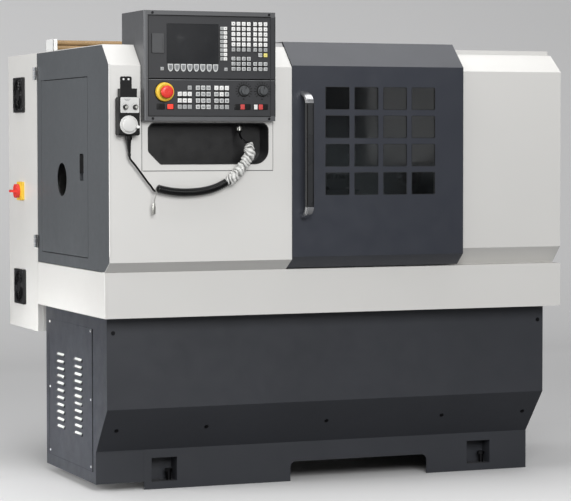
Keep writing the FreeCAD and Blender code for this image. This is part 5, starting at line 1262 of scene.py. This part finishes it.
# %% Pendant plate
PLATE_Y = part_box("pendant_body")[0][1] / MM
PLATE_DEPTH = 0.8
plate_middle = Vector((-794.5, PLATE_Y, 1272.5)) * MM
pendant_plate = plate("pendant_plate_form", ring_outline(62, 49, 3), PLATE_DEPTH, 0.25)
stamp("pendant_plate", pendant_plate, [(plate_middle, UNTURNED, FULL)], plate_white)
plate_face = PLATE_Y - PLATE_DEPTH
SELECTORS_X, SELECTORS_Z, MARK_REACH = (-810, -777), 1266, 12.5
selector_marks = []
for x in SELECTORS_X:
    for k in range(7):
        angle = math.radians(-75 + 25 * k)
        spot = Vector((x + MARK_REACH * math.sin(angle), plate_face,
                       SELECTORS_Z + MARK_REACH * math.cos(angle))) * MM
        selector_marks.append((spot, (0, angle, 0), (0.8, 1.0, 2.4)))
for k in range(3):
    selector_marks.append((Vector((-803, plate_face, 1291.5 - 2.6 * k)) * MM, UNTURNED,
                           (22.0 - 5 * k, 1.0, 1.1)))
stamp("pendant_print", stroke_block, selector_marks, ink_mid)
print("pendant marks:", len(selector_marks))

# %% Selector knobs
CAP_HEIGHT = 13.0
selector_cap = plate("selector_cap", disc_outline(4.4, 24), 1.2, 0.4)
for body, node in (("axis_knob", "axis_selector"), ("step_knob", "step_selector")):
    knob(body + "_cap", 7.6, CAP_HEIGHT, plate_face * MM, strip_black, body, node,
         flutes=10)
    low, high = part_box(node)
    middle = Vector(((low[0] + high[0]) / 2, (plate_face - CAP_HEIGHT + 0.1) * MM,
                     (low[2] + high[2]) / 2))
    stamp(body + "_button", selector_cap, [(middle, UNTURNED, FULL)], zinc_plate,
          body=body)
    print("selector:", body)

# %% Pulse wheel
WHEEL = Vector((-798.0, -583.4, 1210.0))
wheel_cap = lathe("wheel_cap", [(0, 28.4), (0.8, 29.4), (5.0, 29.4), (5.6, 29.0),
                                (6.2, 28.4), (6.2, 24.6), (5.4, 24.4), (5.4, 23.4),
                                (11.6, 22.6), (13.0, 21.6), (13.4, 20.0)],
                  WHEEL * MM, OUTWARD, plate_white, sides=96)
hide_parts("pendant_dial")
crank = WHEEL + Vector((24.2, -5.4, -7.0))
crank_stem = lathe("crank_stem", [(0, 3.6), (11.0, 3.6)], crank * MM, OUTWARD, strip_black)
crank_knob = lathe("crank_knob", [(10.0, 3.4), (10.8, 4.4), (21.4, 4.4), (22.6, 3.4)],
                   crank * MM, OUTWARD, white_plastic)
for piece in (wheel_cap, crank_stem, crank_knob):
    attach(piece, "pulse_wheel")
print("wheel faces:", len(wheel_cap.data.polygons))

# %% Pulse wheel's scale
WHEEL_MARKS = 50
wheel_marks = []
for k in range(WHEEL_MARKS):
    angle = 2 * math.pi * k / WHEEL_MARKS
    reach, long = (26.9, 1.6) if k % 5 else (26.5, 2.6)    # every fifth mark is longer
    spot = WHEEL + Vector((reach * math.sin(angle), -6.2, reach * math.cos(angle)))
    wheel_marks.append((spot * MM, (0, angle, 0), (0.5, 1.0, long)))
stamp("wheel_scale", stroke_block, wheel_marks, ink_mid, body="pulse_wheel")
print("wheel marks:", len(wheel_marks))

# %% [markdown]
# ## Screws
#
# Two templates, a small round head and a larger one, are stamped at each screw's place and
# turned to its face: white ones on the louver plate, whose white is a painted highlight,
# blackened ones on the base and the box, white ones on the pendant's holder.

# %% Screws
screw_form = plate("screw_form", disc_outline(3.6, 20), 1.6, 0.7)
head_form = plate("head_form", disc_outline(5.4, 24), 2.6, 1.0)
TO_LEFT, TO_SLOPE = (0, 0, -math.pi / 2), (0.688, 0, 0)
# The louver plate's screws are white: a painted highlight for their glint.
louver_screws = stamp("louver_screws", head_form,
                      [(Vector((-824.0, y, z)) * MM, TO_LEFT, (0.75, 1, 0.75))
                       for y in (-249, 229) for z in (80, 303, 531)], light_key)
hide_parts("cover_screws")
dark_heads = [(Vector((x, -419, 536)) * MM, UNTURNED, (1.3, 1, 1.3)) for x in (-801, 751)]
dark_heads += [(Vector((-771 + 1496 * share, -357, 209.5)) * MM, TO_SLOPE, (1.3, 1, 1.3))
               for share in (0, 0.21, 0.5, 0.79, 1)]
dark_heads += [(Vector((x, -575.5, z)) * MM, UNTURNED, (0.8, 1, 0.8))
               for x in (-715.0, -317.0) for z in (1230.5, 1566.5)]
stamp("dark_screws", head_form, dark_heads, black_bolt)
stamp("holder_screws", screw_form,
      [(Vector((x, -548, 1355)) * MM, UNTURNED, (0.9, 1, 0.9)) for x in (-803.4, -786.6)],
      white_plastic)
print("dark screws:", len(dark_heads))

# %% [markdown]
# ## Door handle
#
# The grip is one bar with a channelled section, bent back to the door at both ends.  Its
# section is swept along the side view of the bend, narrowing towards the door.  One
# material does the rest: the height in Object coordinates tells the bright ends from the
# black bar, and the grooves get a second, black material: painted shade in the channels.

# %% Handle sweep
handle_low, handle_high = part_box("door_handle")
HANDLE_X = (handle_low[0] + handle_high[0]) / 2 / MM + 3
HANDLE_REACH, HANDLE_BEND = 60.0, 36.0
BEND_POINTS = 13                        # points of the path in each bend
handle_top, handle_foot = handle_high[2] / MM, handle_low[2] / MM
section = [(-13, -6), (-13, 5), (-12.4, 6.2), (-8.6, 6.2), (-8, 7.4), (8, 7.4),
           (8.6, 6.2), (12.4, 6.2), (13, 5), (13, -6), (11.5, -7), (-11.5, -7)]
handle_path = []
for k in range(BEND_POINTS):
    turn = math.pi / 2 * k / (BEND_POINTS - 1)
    handle_path.append((HANDLE_REACH * math.sin(turn) - 4.5 * (1 - math.sin(turn)),
                        handle_top - 6 - HANDLE_BEND * (1 - math.cos(turn)),
                        turn, math.sin(turn)))
handle_path += [(reach, handle_top + handle_foot - z, math.pi - turn, share)
                for reach, z, turn, share in reversed(handle_path)]
handle_verts, handle_faces = [], []
for reach, z, turn, share in handle_path:
    wide, deep = 0.72 + 0.28 * share, 0.8 + 0.2 * share
    out = Vector((0, -math.sin(turn), math.cos(turn)))
    centre = Vector((HANDLE_X, DOOR_FACE - max(0.0, reach - 7.4), z))
    handle_verts += [(centre + Vector((a * wide, 0, 0)) + out * (b * deep)) * MM
                     for a, b in section]
size = len(section)
for k in range(len(handle_path) - 1):
    for j in range(size):
        a, b = k * size + j, k * size + (j + 1) % size
        handle_faces.append((a, a + size, b + size, b))
handle_faces.append(tuple(range(size)))
handle_faces.append(tuple(len(handle_verts) - 1 - j for j in range(size)))
print("handle faces:", len(handle_faces))

# %% Handle finish
BRIGHT_END = 0.040                      # length of a bright end, fading over 2 mm
handle_finish = steel("handle_finish", srgb(30, 31, 33), gloss=0.25,
                      stretch=(90.0, 90.0, 8.0), bump=0.03)
handle_tree = handle_finish.node_tree
height = add(handle_tree, "ShaderNodeSeparateXYZ", {
    "Vector": add(handle_tree, "ShaderNodeTexCoord").outputs["Object"]})
middle = (handle_low[2] + handle_high[2]) / 2
away = add(handle_tree, "ShaderNodeMath", {0: height.outputs["Z"], 1: middle},
           operation="SUBTRACT")
away = add(handle_tree, "ShaderNodeMath", {0: away.outputs[0]}, operation="ABSOLUTE")
bright = add(handle_tree, "ShaderNodeMapRange",
             {"Value": away.outputs[0], "From Min": handle_high[2] - middle - BRIGHT_END,
              "From Max": handle_high[2] - middle - BRIGHT_END + 2 * MM})
handle_colour = add(handle_tree, "ShaderNodeMix", data_type="RGBA")
handle_tree.links.new(bright.outputs[0], handle_colour.inputs[0])
handle_colour.inputs[6].default_value = srgb(44, 45, 47)
handle_colour.inputs[7].default_value = srgb(205, 206, 208)
handle_shader = handle_tree.nodes["Principled BSDF"]
handle_tree.links.new(handle_colour.outputs[2], handle_shader.inputs["Base Color"])
handle_tree.links.new(bright.outputs[0], handle_shader.inputs["Metallic"])
print("handle finish:", len(handle_tree.nodes), "nodes")

# %% Handle bar
STRAIGHT_BAND, SHADED_GROOVES = BEND_POINTS - 1, (2, 3, 6, 7)
handle_piece = new_piece("handle_bar", handle_verts, handle_faces, handle_finish)
# The groove faces of the straight bar are black: painted shade in the channels.
handle_piece.data.materials.append(strip_black)
for polygon in handle_piece.data.polygons:
    band, side = divmod(polygon.index, size)
    if band == STRAIGHT_BAND and side in SHADED_GROOVES:
        polygon.material_index = 1
handle_piece.data.set_sharp_from_angle(angle=0.5)
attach(handle_piece, "door")
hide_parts("door_handle")
print("handle: %.0f mm" % (handle_top - handle_foot))

# %% [markdown]
# ## Emergency stop
#
# Both parts are turned shapes, so each is one profile: a black foot ring, a yellow collar
# with a rounded shoulder, and the red mushroom on its black stem.  The stem's wide black
# skirt just behind the mushroom is painted shade under the head.

# %% Emergency stop
estop = Vector((-675.5, -572.5, 1315.0)) * MM
foot = lathe("estop_foot", [(0, 32.8), (2.2, 32.8), (2.8, 32.0), (2.8, 29.0)], estop,
             OUTWARD, strip_black, sides=72)
ring = lathe("estop_ring", [(2.6, 30.6), (4.5, 30.6), (11.4, 29.6), (13.4, 27.6),
                            (14.0, 25.4), (14.0, 21.4), (9.0, 12.6), (2.9, 12.4),
                            (2.9, 0.2)],
             estop, OUTWARD, yellow_plastic, sides=72)
for piece, slot in ((foot, "black_plastic"), (ring, "yellow_plastic")):
    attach(piece, "machine")
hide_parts("estop_collar")
# The stem's wide black skirt just behind the head is painted shade under the mushroom.
stem = lathe("estop_stem", [(9.2, 10.0), (20.4, 10.0), (21.0, 18.6), (21.6, 19.6),
                            (24.6, 19.6)], estop, OUTWARD, strip_black, sides=72)
head = lathe("estop_cap", [(24.4, 17.5), (25.0, 20.0), (33.0, 20.0), (35.4, 18.4),
                           (36.6, 15.5), (37.0, 9.0), (36.4, 0.3)], estop, OUTWARD,
             red_plastic, sides=72)
for piece in (stem, head):
    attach(piece, "estop_head")
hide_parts("estop_button")
print("stop's faces:", sum(len(p.data.polygons) for p in (foot, ring, stem, head)))

# %% [markdown]
# ## Cabinet hardware
#
# The hinges' knuckles are part of the white cabinet's solid, but the real ones are bare
# steel, so thin sleeves of steel lie over the barrels and straps over the leaves.  The
# filter guards get their grille rings and screws.

# %% Hinges
dark_steel = steel("dark_steel", srgb(128, 130, 132), gloss=0.4,
                   stretch=(160.0, 160.0, 160.0))
HINGE_X, HINGE_Y, HINGE_LENGTH = -859.0, 284.0, 45.0
for label, middle in (("low", 810.0), ("high", 1396.0)):
    third = HINGE_LENGTH / 3
    barrel = [(0.0, 5.6), (0.4, 6.3), (third - 0.8, 6.3), (third - 0.4, 5.6)]
    for part, body, start in (("foot", "machine", -1.5),
                              ("leaf", "cabinet_door_leaf", -0.5),
                              ("head", "machine", 0.5)):
        sleeve = lathe("hinge_%s_%s" % (label, part), barrel,
                       Vector((HINGE_X, HINGE_Y, middle + start * third + 0.2)) * MM,
                       UP, dark_steel)
        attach(sleeve, body)
    strip("hinge_%s_strap" % label, (-853.2, 257.5, middle - 22.8),
          (-850.8, 277.5, middle + 22.8), dark_steel, bevel=0.4)
    print("hinge_%s at z = %.0f mm" % (label, middle))

# %% Filter guards
FAN_Y, FAN_FACE = 502.0, -861.0
FANS = (("lower", 639.0), ("upper", 1325.0))
RING_RADII, RING_POINTS = (30.0, 40.0, 50.0), 48
grille_black = plastic("grille_black", srgb(17, 17, 19), gloss=0.3)
dress(grille_black, "fan_guards", "fan_rotor_upper", "fan_rotor_lower")
for label, middle in FANS:
    for ring, radius in enumerate(RING_RADII):
        circle = [Vector((FAN_FACE + 0.6, FAN_Y + radius * math.cos(a),
                          middle + radius * math.sin(a))) * MM
                  for a in [2 * math.pi * k / RING_POINTS for k in range(RING_POINTS + 1)]]
        wire = tube("grille_%s_%d" % (label, ring), circle, 1.1 * MM, grille_black,
                    sides=8)
        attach(wire, "cabinet_door_leaf")
corner_screws = [(Vector((FAN_FACE + 0.2, FAN_Y + 52 * a, middle + 52 * b)) * MM,
                  TO_LEFT, FULL)
                 for _, middle in FANS for a in (-1, 1) for b in (-1, 1)]
stamp("guard_screws", screw_form, corner_screws, dark_steel, body="cabinet_door_leaf")
print("grille rings:", len(FANS) * len(RING_RADII))

# %% [markdown]
# ## Brake resistor
#
# The resistor on the roof is four ceramic tubes, each with a wire wound on it, held
# between channels of bright sheet.  The winding is one more helix, this time along a
# straight line.

# %% Resistor channels
load_low, load_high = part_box("brake_resistor")
bracket_coat = paint("bracket_coat", srgb(222, 223, 222))
bright_sheet = steel("bright_sheet", srgb(222, 222, 220), gloss=0.38,
                     stretch=(60.0, 60.0, 60.0), bump=0.05)
X0, X1 = load_low[0] / MM, load_high[0] / MM
Y0, Y1 = load_low[1] / MM, load_high[1] / MM
Z0, Z1 = load_low[2] / MM, load_high[2] / MM
holder = strip("resistor_foot_left", (X0, Y0, Z0), (X0 + 30, Y1, Z0 + 2.5), bright_sheet,
               bevel=0.4)
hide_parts("brake_resistor")
strip("resistor_foot_right", (X1 - 30, Y0, Z0), (X1, Y1, Z0 + 2.5), bright_sheet,
      bevel=0.4)
for side, start, wall in (("left", X0, X0), ("right", X1 - 16, X1 - 2)):
    strip("resistor_%s_wall" % side, (wall, Y0, Z0), (wall + 2, Y1, Z1), bracket_coat,
          bevel=0.4)
    for face, y in (("front", Y0), ("back", Y1 - 2)):
        strip("resistor_%s_%s" % (side, face), (start, y, Z0), (start + 16, y + 2, Z1),
              bright_sheet, bevel=0.4)
print("resistor %.0f x %.0f x %.0f mm" % (X1 - X0, Y1 - Y0, Z1 - Z0))

# %% Resistor tubes and windings
CORES = [(y, Z1 - drop) for y in (430.0, 474.0) for drop in (12, 30)]
CORE, WIRE_TURNS, TURN_STEPS = 8.0, 30, 24
WIRE_STEPS = WIRE_TURNS * TURN_STEPS
for number, (y, z) in enumerate(CORES):
    core = lathe("resistor_core_%d" % number,
                 [(0.0, 7.2), (1.0, CORE), (X1 - X0 - 9, CORE), (X1 - X0 - 8, 7.2)],
                 Vector((X0 + 4, y, z)) * MM, Vector((1, 0, 0)), ceramic_tan)
    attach(core, "machine")
    turns_of_wire = [Vector((X0 + 22 + (X1 - X0 - 44) * k / WIRE_STEPS,
                             y + CORE * math.cos(k * 2 * math.pi / TURN_STEPS),
                             z + CORE * math.sin(k * 2 * math.pi / TURN_STEPS))) * MM
                     for k in range(WIRE_STEPS + 1)]
    winding = tube("resistor_wire_%d" % number, turns_of_wire, 0.8 * MM, ceramic_tan,
                   sides=6)
    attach(winding, "machine")
print("resistor tubes:", len(CORES))

# %% [markdown]
# ## Back of the machine
#
# The photograph doesn't show the back.  Such machines have a lift-off sheet there, with
# screws all round and a few vents, and glands under the cabinet where the cables go in.
# The stamps and the lathe helper make those too.

# %% Back panel
TO_BACK = (0, 0, math.pi)
BACK_X, BACK_Z, BACK_WIDTH, BACK_HEIGHT = 330.0, 1105.0, 760.0, 560.0
back_seam = plate("back_seam", ring_outline(BACK_WIDTH + 3, BACK_HEIGHT + 3, 7), 0.4)
back_sheet = plate("back_sheet", ring_outline(BACK_WIDTH, BACK_HEIGHT, 6), 2.0, 0.9)
back_centre = Vector((BACK_X, 285.0, BACK_Z)) * MM
SHEET_FACE = 287.0                      # y of the back panel's face
stamp("back_seam", back_seam, [(back_centre, TO_BACK, FULL)], seam_grey)
stamp("back_panel", back_sheet, [(back_centre, TO_BACK, FULL)], white_coat)
rows = [(a / 3.0, b) for a in (-3, -1, 1, 3) for b in (-1, 1)] + [(-1, 0), (1, 0)]
stamp("back_screws", head_form,
      [(Vector((BACK_X + 366 * a, SHEET_FACE, BACK_Z + 266 * b)) * MM, TO_BACK,
        (0.8, 1, 0.8)) for a, b in rows], zinc_plate)
stamp("back_vents", hood_form,
      [(Vector((BACK_X + 96 * a, SHEET_FACE, BACK_Z + 150 + 20 * k)) * MM, TO_BACK, FULL)
       for a in (-1, 0, 1) for k in range(4)], strip_black)
print("back screws:", len(rows))

# %% Cabinet glands
for number in range(4):
    cable_entry = lathe("cabinet_gland_%d" % number,
                        [(0, 15.0), (6, 15.0), (6.4, 13.0), (9, 13.0), (9.4, 15.0),
                         (19, 14.2), (21, 11.0)],
                        Vector((-560.0 + 60 * number, 560.0, 492.0)) * MM,
                        DOWN, black_plastic, sides=12)
    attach(cable_entry, "machine")
print("glands under the cabinet: 4")

# %% [markdown]
# ## Floor, backdrop and light
#
# The picture is a studio picture on a pale ground.  The machine's own shading says where
# the light is: upper bevels are bright, lower ones dark, so one wide box hangs above and
# a little before the machine, one stands in front and one at the left.  A weak one lies
# low at the left for the louver plate, and two small cards mirror in the screen and the
# windows.  The floor is pale for the camera only and darker for the light that bounces
# up, and far behind the machine it also glows a little.  The wall is seen through from
# behind, so that a camera at the back looks past it.

# %% Floor and backdrop sheet
floor_mesh = bpy.data.meshes.new("floor")
bend = [(-9.0, 0.0), (4.0, 0.0)] + [(4.0 + 2.0 * math.sin(a), 2.0 - 2.0 * math.cos(a))
                                    for a in [math.pi * k / 24 for k in range(1, 13)]]
bend += [(6.0, 9.0)]
sweep_verts = [(x, y, z) for y, z in bend for x in (-16.0, 16.0)]
sweep_faces = [(2 * k, 2 * k + 1, 2 * k + 3, 2 * k + 2) for k in range(len(bend) - 1)]
floor_mesh.from_pydata(sweep_verts, [], sweep_faces)
floor_mesh.polygons.foreach_set("use_smooth", [True] * len(floor_mesh.polygons))
floor = bpy.data.objects.new("floor", floor_mesh)
scene.collection.objects.link(floor)
print("backdrop points:", len(bend))

# %% Floor paint
floor_paint = bpy.data.materials.new("floor_paint")
floor_paint.use_nodes = True
ground = floor_paint.node_tree
seen = add(ground, "ShaderNodeLightPath").outputs["Is Camera Ray"]
ground_tone = add(ground, "ShaderNodeMix", data_type="RGBA")
ground.links.new(seen, ground_tone.inputs[0])
ground_tone.inputs[6].default_value = (0.2, 0.2, 0.203, 1)
ground_tone.inputs[7].default_value = (0.72, 0.72, 0.72, 1)
floor_shader = ground.nodes["Principled BSDF"]
ground.links.new(ground_tone.outputs[2], floor_shader.inputs["Base Color"])
floor_shader.inputs["Roughness"].default_value = 0.85
floor_spot = add(ground, "ShaderNodeSeparateXYZ", {
    "Vector": add(ground, "ShaderNodeTexCoord").outputs["Object"]})
far = add(ground, "ShaderNodeMapRange",
          {"Value": floor_spot.outputs["Y"], "From Min": 0.8, "From Max": 3.6,
           "To Min": 0.0, "To Max": 0.17})
lift = add(ground, "ShaderNodeMath", {0: seen, 1: far.outputs[0]}, operation="MULTIPLY")
ground.links.new(lift.outputs[0], floor_shader.inputs["Emission Strength"])
front_side = add(ground, "ShaderNodeMath",
                 {0: 1.0, 1: add(ground, "ShaderNodeNewGeometry").outputs["Backfacing"]},
                 operation="SUBTRACT")
ground.links.new(front_side.outputs[0], floor_shader.inputs["Alpha"])
floor_mesh.materials.append(floor_paint)
print("floor paint:", len(ground.nodes), "nodes")

# %% World
world = bpy.data.worlds.new("studio")
scene.world = world
world.use_nodes = True
sky = world.node_tree
ray = add(sky, "ShaderNodeLightPath")
mirror_tone = add(sky, "ShaderNodeMix", data_type="RGBA")
sky.links.new(ray.outputs["Is Glossy Ray"], mirror_tone.inputs[0])
mirror_tone.inputs[6].default_value = (0.80, 0.80, 0.81, 1)
mirror_tone.inputs[7].default_value = (0.16, 0.16, 0.165, 1)
sky.links.new(mirror_tone.outputs[2], sky.nodes["Background"].inputs["Color"])
sky.nodes["Background"].inputs["Strength"].default_value = 0.44
print("world:", len(sky.nodes), "nodes")


# %% Softboxes
def softbox(name, place, target, width, height, power):
    """A rectangular lamp (metres, watts) that faces its target."""
    data = bpy.data.lights.new(name, "AREA")
    data.shape = "RECTANGLE"
    data.size, data.size_y, data.energy = width, height, power
    lamp = bpy.data.objects.new(name, data)
    ray = Vector(target) - Vector(place)
    lamp.matrix_world = (Matrix.Translation(place)
                         @ ray.to_track_quat("-Z", "Y").to_matrix().to_4x4())
    scene.collection.objects.link(lamp)
    return lamp


softbox("overhead", (0.0, -0.35, 3.3), (0.0, -0.3, 1.4), 3.4, 2.2, 53)
softbox("front", (-1.0, -5.2, 2.7), (0.1, -0.3, 0.7), 2.6, 2.2, 188)
softbox("left", (-4.4, -0.4, 1.5), (-0.8, 0.2, 0.9), 2.2, 2.2, 122)
low_left = softbox("low_left", (-3.2, 0.1, 0.22), (-0.82, 0.0, 0.2), 0.9, 0.4, 3.0)
low_left.data.spread = 0.5
softbox("screen_card", (0.57, -4.0, 1.67), (-0.63, -0.57, 1.5), 0.11, 0.14, 0.12)
softbox("window_card", (1.81, -4.0, 1.36), (0.12, -0.546, 1.2), 0.42, 0.62, 0.75)
scene.view_settings.view_transform = "Standard"
print("lamps:", len(bpy.data.lights))
